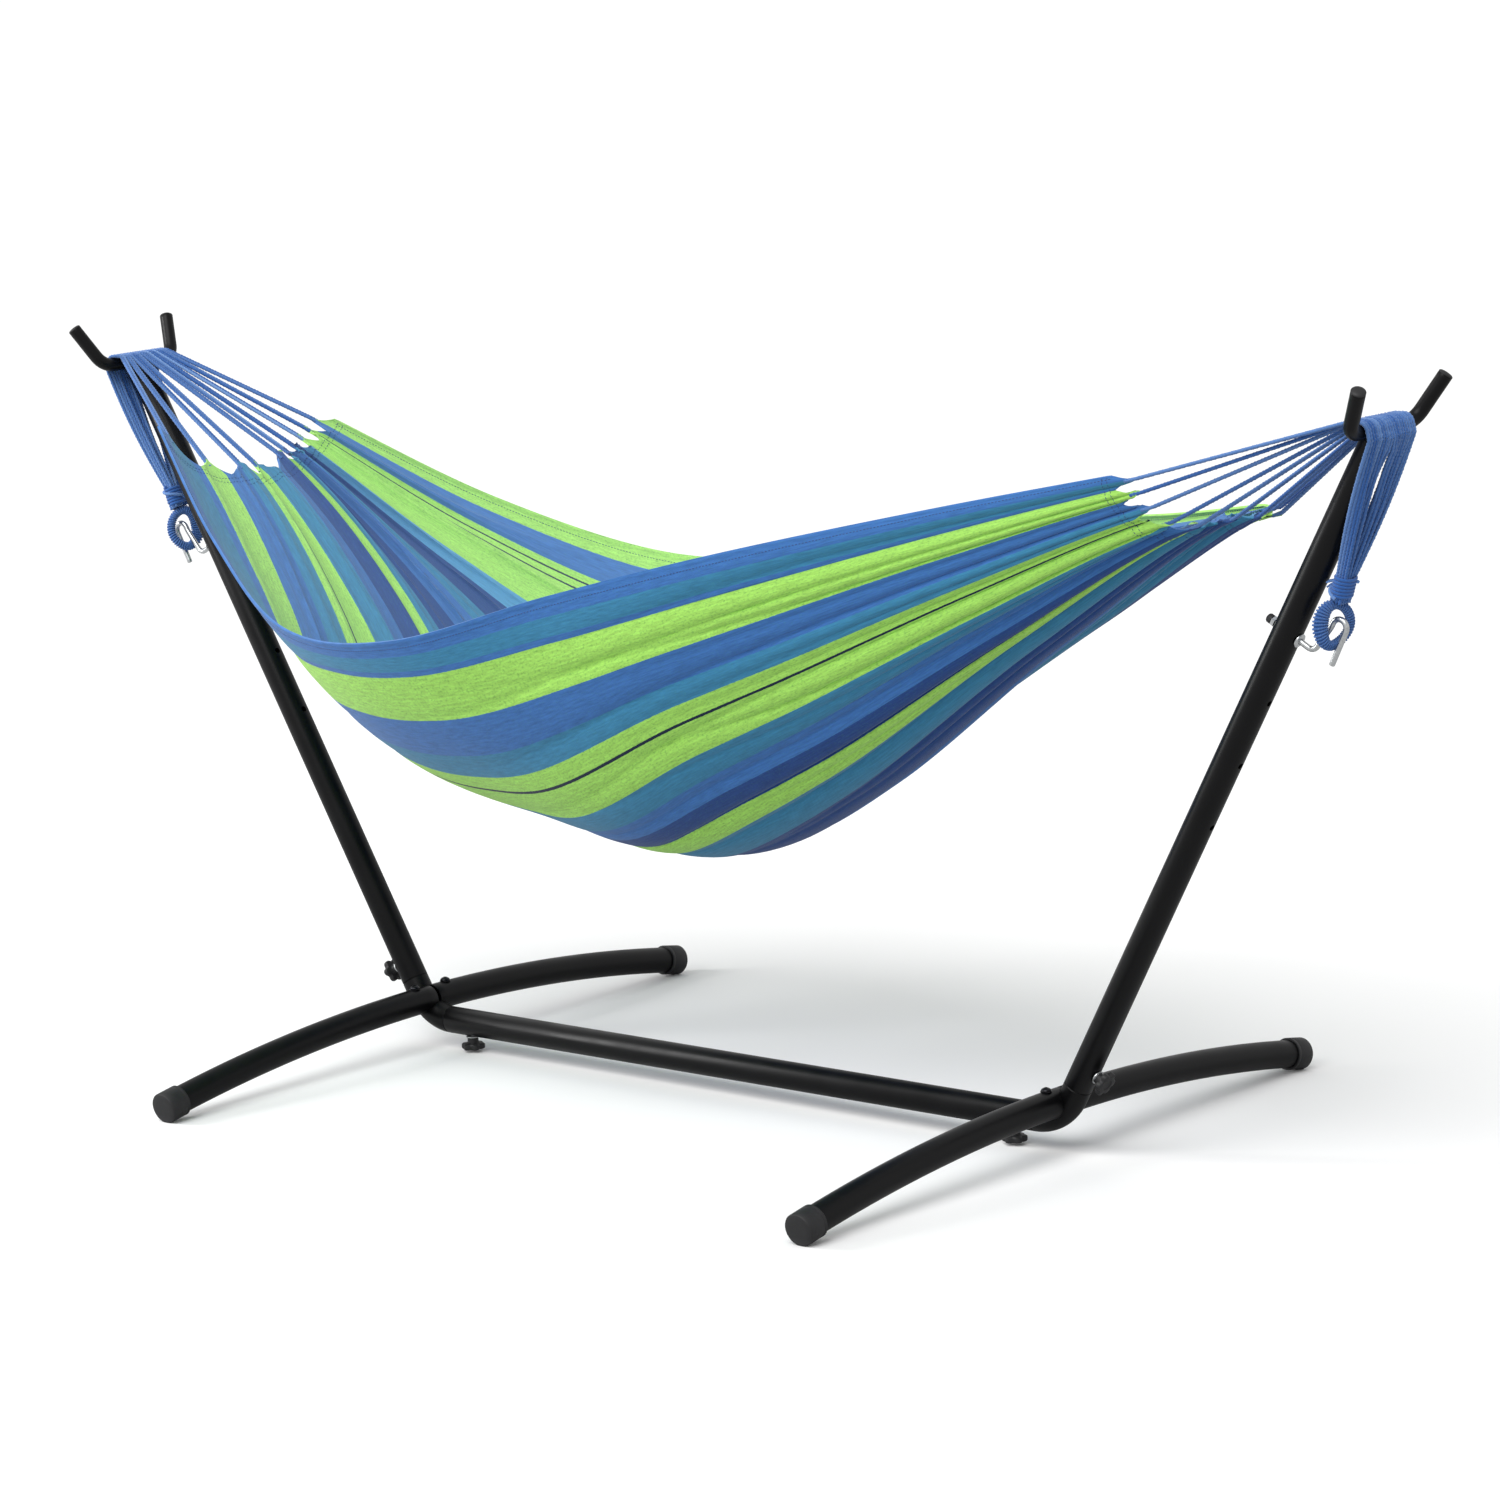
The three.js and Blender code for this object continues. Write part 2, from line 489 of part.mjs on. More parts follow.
function stringBand(name) {
  const section = new THREE.Shape();
  const half = STRING_THICKNESS / 2;
  section.moveTo(-half, -1).lineTo(half, -1).lineTo(half, 1).lineTo(-half, 1);
  const curve = new PlaneCurve(roundedPath(BAND_ROUTE, BAND_ROUNDING), X, Z);
  const geometry = new THREE.ExtrudeGeometry(section, {
    steps: BAND_STEPS,
    extrudePath: curve,
    bevelEnabled: false,
  });
  const position = geometry.attributes.position;
  const depth = BAND_ROUTE.at(-1).y;
  for (let i = 0; i < position.count; i += 1) {
    const down = THREE.MathUtils.clamp(position.getZ(i) / depth, 0, 1);
    const width = THREE.MathUtils.lerp(BAND_TOP_WIDTH, BAND_END_WIDTH, Math.sqrt(down));
    position.setY(i, Math.sign(position.getY(i)) * (width / 2));
  }
  geometry.translate(SADDLE_AXIS.x, 0, SADDLE_AXIS.z);
  return meshOf(name, solidOf(geometry), blueString());
}

function stringWhipping(name) {
  const eyeTop = EYE_CENTRE.clone().addScaledVector(EYE_UP, EYE_OUTER[1] + GAP);
  const bandEnd = BAND_END.clone().addScaledVector(EYE_UP, -2 * GAP - 1);
  const geometry = new THREE.CylinderGeometry(1, 1, bandEnd.distanceTo(eyeTop), ROD_SIDES);
  geometry.scale(WHIPPING_HALF[1], 1, WHIPPING_HALF[0]);
  const middle = new THREE.Vector3().addVectors(bandEnd, eyeTop).multiplyScalar(0.5);
  return meshOf(name, place(geometry, EYE_UP, X, middle), blueString());
}

function stringEye(name) {
  const shape = new THREE.Shape().absellipse(0, 0, ...EYE_OUTER, 0, 2 * Math.PI);
  shape.holes.push(new THREE.Path().absellipse(0, 0, ...EYE_INNER, 0, 2 * Math.PI));
  const geometry = new THREE.ExtrudeGeometry(shape, {
    depth: EYE_THICKNESS,
    curveSegments: ROD_SIDES,
    bevelEnabled: false,
  });
  geometry.translate(0, 0, -EYE_THICKNESS / 2);
  const face = new THREE.Vector3(Math.cos(EYE_TWIST), -Math.sin(EYE_TWIST), 0);
  return meshOf(name, place(geometry, EYE_UP, face, EYE_CENTRE), blueString());
}

// ---- One end of the stand ----------------------------------------------------------------------
function standEnd(end, turned) {
  const group = new THREE.Group();
  group.add(cornerJoint(`${end}_corner_joint`), upright(`${end}_upright`));
  group.add(forkedHook(`${end}_forked_hook`));
  for (const side of [-1, 1]) {
    const place = (side < 0) === turned ? "back" : "front";
    group.add(footTube(`${end}_${place}_foot`, side), footCap(`${end}_${place}_foot_cap`, side));
    group.add(footBolt(`${end}_${place}_foot_bolt`, side), hookTip(`${end}_${place}_hook_tip`, side));
  }
  const baseKnob = knobSet(`${end}_base`);
  baseKnob.position.set(-BASE_KNOB_REACH, 0, 0);
  baseKnob.rotation.x = Math.PI;
  const uprightKnob = knobSet(`${end}_upright`);
  uprightKnob.position.copy(onUpright(UPRIGHT_KNOB_REACH));
  uprightKnob.rotation.y = Math.PI / 2 + LEAN;
  const washer = new THREE.Group();
  washer.add(meshOf(`${end}_hook_bolt_washer`, washerSolid(), zincPlate()));
  washer.position.copy(onUpright(HOOK_BOLT_AT));
  washer.rotation.y = Math.PI / 2 + LEAN;
  const nut = new THREE.Group();
  nut.add(hookBoltNut(`${end}_hook_bolt_nut`), hookBoltCap(`${end}_hook_bolt_cap`));
  nut.position.copy(onUpright(HOOK_BOLT_AT));
  nut.rotation.y = LEAN - Math.PI / 2;
  group.add(baseKnob, uprightKnob, hookBolt(`${end}_hook_bolt`), washer, nut);
  group.add(stringBand(`${end}_string_band`), stringWhipping(`${end}_string_whipping`));
  group.add(stringEye(`${end}_string_eye`));
  group.position.set(turned ? -CORNER_SPREAD : CORNER_SPREAD, 0, BASE_HEIGHT);
  group.rotation.z = turned ? Math.PI : 0;
  return group;
}

function baseTube(name) {
  const reach = CORNER_SPREAD - BEND_TANGENT - GAP;
  const at = (x, z = BASE_HEIGHT) => new THREE.Vector3(x, 0, z);
  const outer = rod(at(-reach), at(reach), TUBE_RADIUS);
  const bore = rod(at(-reach - 1), at(reach + 1), TUBE_RADIUS - TUBE_WALL);
  const knobAt = CORNER_SPREAD - BASE_KNOB_REACH;
  const holes = [-knobAt, knobAt].map((x) => rod(at(x, 0), at(x), HOLE_RADIUS, ROD_SIDES));
  return meshOf(name, outer.subtract(union([bore, ...holes])), powderCoat());
}

// ---- The hammock -------------------------------------------------------------------------------
const outlineCurve = new THREE.CatmullRomCurve3(
  CLOTH_STATIONS.map((station) => new THREE.Vector3(station.x, station.halfWidth, station.rim)),
  false,
  "catmullrom",
);
const bellyCurve = new THREE.SplineCurve(
  CLOTH_STATIONS.map((station) => new THREE.Vector2(station.drop, station.fullness)),
);
const tiltCurve = new THREE.SplineCurve(
  CLOTH_STATIONS.map((station) => new THREE.Vector2(station.x, station.tilt)),
);

// A point of the cloth: long runs from the left end to the right, across from front rim to back.
function clothPoint(long, across) {
  const outline = outlineCurve.getPoint(long);
  const belly = bellyCurve.getPoint(long);
  const angle = Math.PI * across;
  const depth = belly.x * Math.sin(angle) ** belly.y;
  const point = new THREE.Vector3(outline.x, -outline.y * Math.cos(angle), outline.z - depth);
  const toMiddle = THREE.MathUtils.smoothstep(across, 0, 0.5);
  const toBack = THREE.MathUtils.smoothstep(across, 0.5, 1);
  for (const [end, near] of [[LEFT_END, 1 - long], [RIGHT_END, long]]) {
    const frontHalf = THREE.MathUtils.lerp(end.front, end.middle, toMiddle);
    point.x += THREE.MathUtils.lerp(frontHalf, end.back, toBack) * near ** END_FADE;
  }
  point.z -= tiltCurve.getPoint(long).y * toBack;
  return point;
}

function clothNormal(long, across) {
  const step = 0.01;
  const [longLow, longHigh] = [Math.max(long - step, 0), Math.min(long + step, 1)];
  const [acrossLow, acrossHigh] = [Math.max(across - step, 0), Math.min(across + step, 1)];
  const lengthways = clothPoint(longHigh, across).sub(clothPoint(longLow, across));
  const sideways = clothPoint(long, acrossHigh).sub(clothPoint(long, acrossLow));
  return lengthways.cross(sideways).normalize();
}

function cloth(name) {
  const geometry = new THREE.BoxGeometry(1, 1, 1, CLOTH_STEPS_LONG, CLOTH_STEPS_ACROSS, 1);
  const position = geometry.attributes.position;
  for (let i = 0; i < position.count; i += 1) {
    const long = position.getX(i) + 0.5;
    const across = position.getY(i) + 0.5;
    const offset = clothNormal(long, across).multiplyScalar(position.getZ(i) * CLOTH_THICKNESS);
    const point = clothPoint(long, across).add(offset);
    position.setXYZ(i, point.x, point.y, point.z);
  }
  return meshOf(name, solidOf(geometry), stripedCloth());
}

// The strings of one end: pairs that fan out from the saddle to the cloth, level with one another
// where they start.
function clothStrings(name, side) {
  const saddleX = side * (CORNER_SPREAD + SADDLE_AXIS.x);
  const height = BASE_HEIGHT + SADDLE_AXIS.z + BAND_ROUTE[0].y;
  const start = saddleX - side * (STRING_START + GAP);
  const header = new THREE.BoxGeometry(STRING_HEADER, BAND_TOP_WIDTH, STRING_THICKNESS);
  header.translate(start - side * (STRING_HEADER / 2), 0, height);
  const solids = [solidOf(header)];
  const spread = BAND_TOP_WIDTH - 2 * STRING_PAIR_RADIUS;
  for (let i = 0; i < STRING_PAIRS; i += 1) {
    const across = (i + 0.5) / STRING_PAIRS;
    const long = side < 0 ? 0 : 1;
    const y = (across - 0.5) * spread;
    const from = new THREE.Vector3(start - side * (STRING_HEADER - 4), y, height);
    const tab = clothPoint(long, across);
    const clear = STRING_PAIR_RADIUS + CLOTH_THICKNESS;
    const to = tab.clone().addScaledVector(from.clone().sub(tab).normalize(), clear);
    solids.push(rod(from, to, STRING_PAIR_RADIUS, 8));
  }
  return meshOf(name, union(solids), blueString());
}

// ---- The whole object --------------------------------------------------------------------------
const hammockOnStand = new THREE.Group();
hammockOnStand.add(baseTube("base_tube"), standEnd("right", false), standEnd("left", true));
hammockOnStand.add(cloth("hammock_cloth"));
hammockOnStand.add(clothStrings("left_strings", -1), clothStrings("right_strings", 1));

export default hammockOnStand;
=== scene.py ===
"""A striped cloth hammock on its tubular steel stand, in the order that it is put together."""
import json
import math

import bmesh
import bpy
import numpy as np
from mathutils import Matrix, Vector


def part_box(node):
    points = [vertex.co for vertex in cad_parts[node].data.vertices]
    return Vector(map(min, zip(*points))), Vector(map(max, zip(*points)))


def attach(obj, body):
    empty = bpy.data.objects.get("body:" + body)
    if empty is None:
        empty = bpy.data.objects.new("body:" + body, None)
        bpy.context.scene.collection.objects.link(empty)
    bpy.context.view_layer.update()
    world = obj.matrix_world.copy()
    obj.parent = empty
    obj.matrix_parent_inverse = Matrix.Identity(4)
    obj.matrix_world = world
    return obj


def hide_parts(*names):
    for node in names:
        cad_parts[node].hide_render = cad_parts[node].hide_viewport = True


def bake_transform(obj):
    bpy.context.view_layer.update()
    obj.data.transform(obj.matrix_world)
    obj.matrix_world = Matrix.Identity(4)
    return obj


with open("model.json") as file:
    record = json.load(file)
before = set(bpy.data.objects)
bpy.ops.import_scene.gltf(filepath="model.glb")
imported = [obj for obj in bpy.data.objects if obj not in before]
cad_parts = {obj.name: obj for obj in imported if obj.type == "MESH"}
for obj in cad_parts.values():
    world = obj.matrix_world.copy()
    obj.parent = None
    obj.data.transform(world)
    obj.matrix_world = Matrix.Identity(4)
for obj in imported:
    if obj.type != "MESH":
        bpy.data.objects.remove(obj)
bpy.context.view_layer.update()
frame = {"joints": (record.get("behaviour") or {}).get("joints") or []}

# ---- The view ---------------------------------------------------------------------------------
# A long lens looks slightly down on the stand from its front right-hand quarter, and the camera
# leans a little to one side.
VIEW_AZIMUTH = math.radians(42.4)
VIEW_ELEVATION = math.radians(10.43)
VIEW_ROLL = -0.051
VIEW_DISTANCE = 7.511
VIEW_TARGET = Vector((0.0688, 0.0, 0.5101))


def new_object(name, data):
    """An object in the scene for a mesh, a camera or a light."""
    made = bpy.data.objects.new(name, data)
    bpy.context.collection.objects.link(made)
    return made


camera_data = bpy.data.cameras.new("camera")
camera_data.sensor_width = 36.0
camera_data.lens = 128.08
camera = new_object("camera", camera_data)
view_back = Vector((
    math.sin(VIEW_AZIMUTH) * math.cos(VIEW_ELEVATION),
    -math.cos(VIEW_AZIMUTH) * math.cos(VIEW_ELEVATION),
    math.sin(VIEW_ELEVATION),
))
view_right = Vector((math.cos(VIEW_AZIMUTH), math.sin(VIEW_AZIMUTH), 0.0))
view_up = view_back.cross(view_right)
rolled_right = math.cos(VIEW_ROLL) * view_right + math.sin(VIEW_ROLL) * view_up
rolled_up = math.cos(VIEW_ROLL) * view_up - math.sin(VIEW_ROLL) * view_right
camera_turn = Matrix((rolled_right, rolled_up, view_back)).transposed()
camera.matrix_world = Matrix.Translation(VIEW_TARGET + VIEW_DISTANCE * view_back) @ camera_turn.to_4x4()
bpy.context.scene.camera = camera

# ---- The base tube ----------------------------------------------------------------------------
# One straight length of round tube lies between the two corner joints and slides over their
# spigots. Its ends are cut square and deburred.
MM = 0.001


def linear(colour):
    """An sRGB hex colour as linear red, green, blue and alpha."""
    channels = [int(colour[i:i + 2], 16) / 255 for i in (1, 3, 5)]
    return [c / 12.92 if c <= 0.04045 else ((c + 0.055) / 1.055) ** 2.4 for c in channels] + [1.0]


def add_node(tree, kind, inputs=None, **settings):
    """Adds a node, sets its properties, and sets or links its inputs by name or number."""
    made = tree.nodes.new(kind)
    for key, value in settings.items():
        setattr(made, key, value)
    for key, value in (inputs or {}).items():
        if isinstance(value, bpy.types.NodeSocket):
            tree.links.new(value, made.inputs[key])
        else:
            made.inputs[key].default_value = value
    return made


def new_material(name):
    material = bpy.data.materials.new(name)
    material.use_nodes = True
    material.node_tree.nodes.clear()
    return material, material.node_tree


def surface(tree, inputs):
    """The material's surface and output."""
    shader = add_node(tree, "ShaderNodeBsdfPrincipled", inputs)
    add_node(tree, "ShaderNodeOutputMaterial", {"Surface": shader.outputs["BSDF"]})


def noise(tree, place, scale, detail, roughness=0.5):
    made = add_node(tree, "ShaderNodeTexNoise", {
        "Vector": place, "Scale": scale, "Detail": detail, "Roughness": roughness,
    })
    return made.outputs["Fac"]


def mixed(tree, factor, first, second):
    """A colour between two, each an sRGB hex colour or a socket."""
    pair = [linear(colour) if isinstance(colour, str) else colour for colour in (first, second)]
    made = add_node(tree, "ShaderNodeMix", {"Factor": factor, 6: pair[0], 7: pair[1]}, data_type="RGBA")
    return made.outputs[2]


def ranged(tree, value, low, high, start=0.0, end=1.0):
    """Maps what a value does from start to end onto low to high."""
    made = add_node(tree, "ShaderNodeMapRange", {
        "Value": value, "From Min": start, "From Max": end, "To Min": low, "To Max": high,
    })
    return made.outputs["Result"]


def bumped(tree, height, strength, distance):
    """The normal of a relief that is a distance deep."""
    made = add_node(tree, "ShaderNodeBump", {"Height": height, "Strength": strength, "Distance": distance})
    return made.outputs["Normal"]


# The tubes are mild steel under baked polyester powder in satin black. The powder leaves a fine
# orange peel, and handling has left the gloss a little uneven.
PEEL = 1.6 * MM  # breadth of one dimple of the orange peel
HANDLING = 70 * MM  # breadth of a patch that handling has dulled

powder_coat, tree = new_material("polyester_powder_coat_satin_black")
place = add_node(tree, "ShaderNodeTexCoord").outputs["Object"]
handled = noise(tree, place, 1 / HANDLING, 4.0)
surface(tree, {
    "Base Color": mixed(tree, handled, "#050506", "#0c0c0e"), "Roughness": ranged(tree, handled, 0.30, 0.44, 0.3, 0.7),
    "Normal": bumped(tree, noise(tree, place, 1 / PEEL, 2.0), 0.25, 0.08 * MM),
    "IOR": 1.5, "Specular IOR Level": 0.2,
})


def turned(name, path, across, outline, material, sides=48, sharp=35):
    """Turns an outline round a path that lies in one plane, whose flat normal is across.

    The outline is (distance along the path, radius) pairs in metres. It starts and ends on the path,
    or it closes on itself for a piece with a bore."""
    path = np.array([tuple(p) for p in path], float)
    steps = np.linalg.norm(np.diff(path, axis=0), axis=1)
    reach = np.concatenate([[0.0], np.cumsum(steps)])
    slopes = np.gradient(path, reach, axis=0)
    across = np.array(tuple(across), float)
    angles = np.linspace(0, 2 * np.pi, sides, endpoint=False)
    points, rings = [], []
    for along, radius in outline:
        centre = np.array([np.interp(along, reach, path[:, k]) for k in range(3)])
        slope = np.array([np.interp(along, reach, slopes[:, k]) for k in range(3)])
        slope /= np.linalg.norm(slope)
        centre += slope * (along - min(max(along, 0.0), reach[-1]))
        if radius < 1e-7:
            rings.append([len(points)])
            points.append(centre)
            continue
        out = np.cross(slope, across)
        ring = centre + radius * (np.cos(angles)[:, None] * out + np.sin(angles)[:, None] * across)
        rings.append(list(range(len(points), len(points) + sides)))
        points.extend(ring)
    closed = outline[0] == outline[-1]
    if closed:
        rings[-1] = rings[0]
        points = points[:len(points) - sides]
    faces = []
    for low, high in zip(rings, rings[1:]):
        for i in range(sides):
            j = (i + 1) % sides
            if len(low) == 1:
                faces.append((low[0], high[i], high[j]))
            elif len(high) == 1:
                faces.append((low[i], high[0], low[j]))
            else:
                faces.append((low[i], high[i], high[j], low[j]))
    return mesh_piece(name, points, faces, material, sharp)


def face_outwards(mesh):
    work = bmesh.new()
    work.from_mesh(mesh)
    bmesh.ops.recalc_face_normals(work, faces=work.faces)
    work.to_mesh(mesh)
    work.free()


def mesh_piece(name, points, faces, material, sharp=35):
    """A piece with its faces turned outwards, smooth but for edges sharper than an angle."""
    mesh = bpy.data.meshes.new(name)
    mesh.from_pydata([tuple(p) for p in points], [], faces)
    face_outwards(mesh)
    mesh.shade_smooth()
    mesh.set_sharp_from_angle(angle=math.radians(sharp))
    mesh.materials.append(material)
    return new_object(name, mesh)


def tube_outline(start, end, radius, bore, lip=0.8 * MM, step=None):
    """The outline of a tube with rounded lips, with a ring at every step where its path bends."""
    count = max(1, round((end - start) / step)) if step else 1
    outside = [start + lip + (end - start - 2 * lip) * i / count for i in range(count + 1)]
    outline = [(start, radius - lip), (start + 0.3 * lip, radius - 0.3 * lip)]
    outline += [(along, radius) for along in outside]
    outline += [(end - 0.3 * lip, radius - 0.3 * lip), (end, radius - lip)]
    outline += [(along, bore) for along in [end, *reversed(outside), start]]
    return outline + [outline[0]]


def bake(piece):
    """Turns a piece's modifiers into plain mesh."""
    graph = bpy.context.evaluated_depsgraph_get()
    made = bpy.data.meshes.new_from_object(piece.evaluated_get(graph))
    piece.modifiers.clear()
    old, piece.data = piece.data, made
    made.name = piece.name
    bpy.data.meshes.remove(old)
    return piece


def cut(piece, *cutters):
    """Takes the cutters out of a piece and drops them."""
    for cutter in cutters:
        knife = piece.modifiers.new("cut", "BOOLEAN")
        knife.operation = "DIFFERENCE"
        knife.solver = "EXACT"
        knife.object = cutter
    bake(piece)
    for cutter in cutters:
        bpy.data.objects.remove(cutter)
    piece.data.set_sharp_from_angle(angle=math.radians(35))
    return piece


def middle(node):
    low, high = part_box(node)
    return (Vector(low) + Vector(high)) / 2


X, Y, Z = Vector((1, 0, 0)), Vector((0, 1, 0)), Vector((0, 0, 1))
base_low, base_high = (Vector(corner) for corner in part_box("base_tube"))
TUBE_RADIUS = (base_high.z - base_low.z) / 2
TUBE_BORE = TUBE_RADIUS - 1.5 * MM
BASE_HEIGHT = (base_high.z + base_low.z) / 2

base_tube = turned(
    "base_tube_skin", [Vector((base_low.x, 0, BASE_HEIGHT)), Vector((base_high.x, 0, BASE_HEIGHT))], Y,
    tube_outline(0, base_high.x - base_low.x, TUBE_RADIUS, TUBE_BORE), powder_coat,
)
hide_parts("base_tube")
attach(base_tube, "stand")

# ---- The two ends of the stand ----------------------------------------------------------------
# Both ends are the same welded corner, feet, upright and hook. Each piece is made for the right-hand
# end and turned half round for the left, where its front becomes its back.
ENDS = (("right", Matrix.Identity(4)), ("left", Matrix.Rotation(math.pi, 4, "Z")))


def side_name(end, side):
    """Front or back, for a piece on one side of an end."""
    return "front" if (side < 0) == (end == "right") else "back"


def fit(piece, turn, node, body="stand"):
    """Turns a finished piece to its end and lets it stand for its CAD node."""
    piece.data.transform(turn)
    nodes = [node] if isinstance(node, str) else node
    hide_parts(*nodes)
    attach(piece, body)


upright_knob = next(joint for joint in frame["joints"] if joint["name"] == "right_upright_knob_turn")
OUTWARD = Vector(upright_knob["axis"]).normalized()  # square to the upright, away from the middle
ALONG = Vector((-OUTWARD.z, 0, OUTWARD.x))  # up the upright
CORNER = Vector((middle("right_front_foot").x, 0, BASE_HEIGHT))


def on_upright(along, outward=0.0):
    return CORNER + along * ALONG + outward * OUTWARD


def up_from_corner(node):
    """How far along the upright the middle of a node is."""
    return (middle(node) - CORNER).dot(ALONG)


# ---- Corner joints ----------------------------------------------------------------------------
# A bent tube with a swaged spigot at each end and a short stub on each side for the feet. It is
# welded up before it is coated, so it is one piece.
CORNER_RADIUS = 75 * MM
BEND_ANGLE = math.atan2(ALONG.z, ALONG.x)
BEND_TANGENT = CORNER_RADIUS * math.tan(BEND_ANGLE / 2)
UPRIGHT_START = 62 * MM
BASE_SPIGOT = 70 * MM
UPRIGHT_SPIGOT = 120 * MM
SPIGOT_RADIUS = TUBE_BORE - 0.5 * MM
SPIGOT_BORE = SPIGOT_RADIUS - 2 * MM
BEND_STEP = 5 * MM


def corner_path(base_end, upright_end):
    """The corner's axis, from inside the base tube round to inside the upright."""
    path = [CORNER - base_end * X]
    centre = CORNER - BEND_TANGENT * X + CORNER_RADIUS * Z
    for i in range(25):
        angle = -math.pi / 2 + BEND_ANGLE * i / 24
        path.append(centre + CORNER_RADIUS * (math.cos(angle) * X + math.sin(angle) * Z))
    return path + [on_upright(upright_end)]


for end, turn in ENDS:
    base_end = BEND_TANGENT + BASE_SPIGOT
    bend_length = CORNER_RADIUS * BEND_ANGLE
    sleeve_end = BASE_SPIGOT + bend_length + UPRIGHT_START - BEND_TANGENT - 0.3 * MM
    total = sleeve_end + UPRIGHT_SPIGOT
    lip = 0.8 * MM  # rounding where the sleeve meets a spigot
    outside = np.arange(BASE_SPIGOT + lip, sleeve_end - lip, BEND_STEP).tolist() + [sleeve_end - lip]
    inside = np.arange(total - BEND_STEP, BEND_STEP, -BEND_STEP).tolist()
    outline = [(0, SPIGOT_RADIUS), (BASE_SPIGOT, SPIGOT_RADIUS), (BASE_SPIGOT, TUBE_RADIUS - lip)]
    outline += [(along, TUBE_RADIUS) for along in outside]
    outline += [(sleeve_end, TUBE_RADIUS - lip), (sleeve_end, SPIGOT_RADIUS), (total, SPIGOT_RADIUS)]
    outline += [(total, SPIGOT_BORE)] + [(along, SPIGOT_BORE) for along in inside]
    outline += [(0, SPIGOT_BORE), (0, SPIGOT_RADIUS)]
    joint = turned(
        f"{end}_corner", corner_path(base_end, UPRIGHT_START + UPRIGHT_SPIGOT), Y, outline, powder_coat,
    )
    fit(joint, turn, f"{end}_corner_joint")

# ---- Feet -------------------------------------------------------------------------------------
# Two lengths of tube, rolled to a shallow arch, slide over the corner's stubs. Their inner ends are
# coped to the corner, and they stand on caps at their outer ends.
FOOT_APEX = 28 * MM  # the arch's highest point, above the base tube's axis
CAP_WALL = 2.6 * MM
CAP_FLAT = 2 * MM
CAP_END = 4 * MM
CAP_SLEEVE = 30 * MM
CAP_RADIUS = TUBE_RADIUS + 0.4 * MM + CAP_WALL
FOOT_STEP = 14 * MM
COPE_GAP = 0.5 * MM
COPE_STEPS = 46
FOOT_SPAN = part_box("right_back_foot_cap")[1][1] - CAP_RADIUS * 0.165
FOOT_DROP = FOOT_APEX + BASE_HEIGHT - (CAP_RADIUS - CAP_FLAT)
FOOT_RADIUS = (FOOT_SPAN ** 2 + FOOT_DROP ** 2) / (2 * FOOT_DROP)


def foot_point(reach, side):
    """A point of the foot's axis at a distance along its arch."""
    angle = reach / FOOT_RADIUS
    rise = FOOT_APEX + FOOT_RADIUS * (math.cos(angle) - 1)
    return CORNER + side * FOOT_RADIUS * math.sin(angle) * Y + rise * Z


FOOT_LENGTH = FOOT_RADIUS * math.asin(FOOT_SPAN / FOOT_RADIUS)
for end, turn in ENDS:
    for side in (-1, 1):
        place_name = side_name(end, side)
        arch = [foot_point(FOOT_LENGTH * i / 60, side) for i in range(61)]
        outline = tube_outline(3 * MM, FOOT_LENGTH - CAP_END - 1 * MM, TUBE_RADIUS, TUBE_BORE, step=FOOT_STEP)
        foot = turned(f"{end}_{place_name}_foot_tube", arch, X, outline, powder_coat)
        cope_outline = [(0, 0), *[(i * BEND_STEP, TUBE_RADIUS + COPE_GAP) for i in range(COPE_STEPS)]]
        coping = turned(
            "coping", corner_path(2 * BEND_TANGENT, UPRIGHT_START + 2 * TUBE_RADIUS), Y,
            [*cope_outline, (COPE_STEPS * BEND_STEP, 0)], powder_coat,
        )
        cut(foot, coping)
        fit(foot, turn, f"{end}_{place_name}_foot")

# ---- Foot caps --------------------------------------------------------------------------------
# Injection-moulded polyethylene sleeves pushed over the tubes. They are duller than the powder coat
# and scuffed grey where they meet the ground.
MOULD_GRAIN = 0.9 * MM
SCUFF = 9 * MM
CAP_PATH = 60 * MM  # how much of the foot's arch the cap is shaped along


def maths(tree, operation, *values):
    return add_node(tree, "ShaderNodeMath", dict(enumerate(values)), operation=operation).outputs["Value"]


moulded, tree = new_material("moulded_polyethylene_black")
place = add_node(tree, "ShaderNodeTexCoord").outputs["Object"]
scuffs = noise(tree, place, 1 / SCUFF, 6.0, 0.7)
height = add_node(tree, "ShaderNodeSeparateXYZ", {"Vector": place}).outputs["Z"]
worn = maths(tree, "MULTIPLY", scuffs, ranged(tree, height, 0.75, 0.2, 0.0, 12 * MM))
surface(tree, {
    "Base Color": mixed(tree, worn, "#0d0d0f", "#46464a"), "Roughness": ranged(tree, scuffs, 0.48, 0.66, 0.3, 0.7),
    "Normal": bumped(tree, noise(tree, place, 1 / MOULD_GRAIN, 3.0), 0.3, 0.06 * MM), "IOR": 1.51,
})

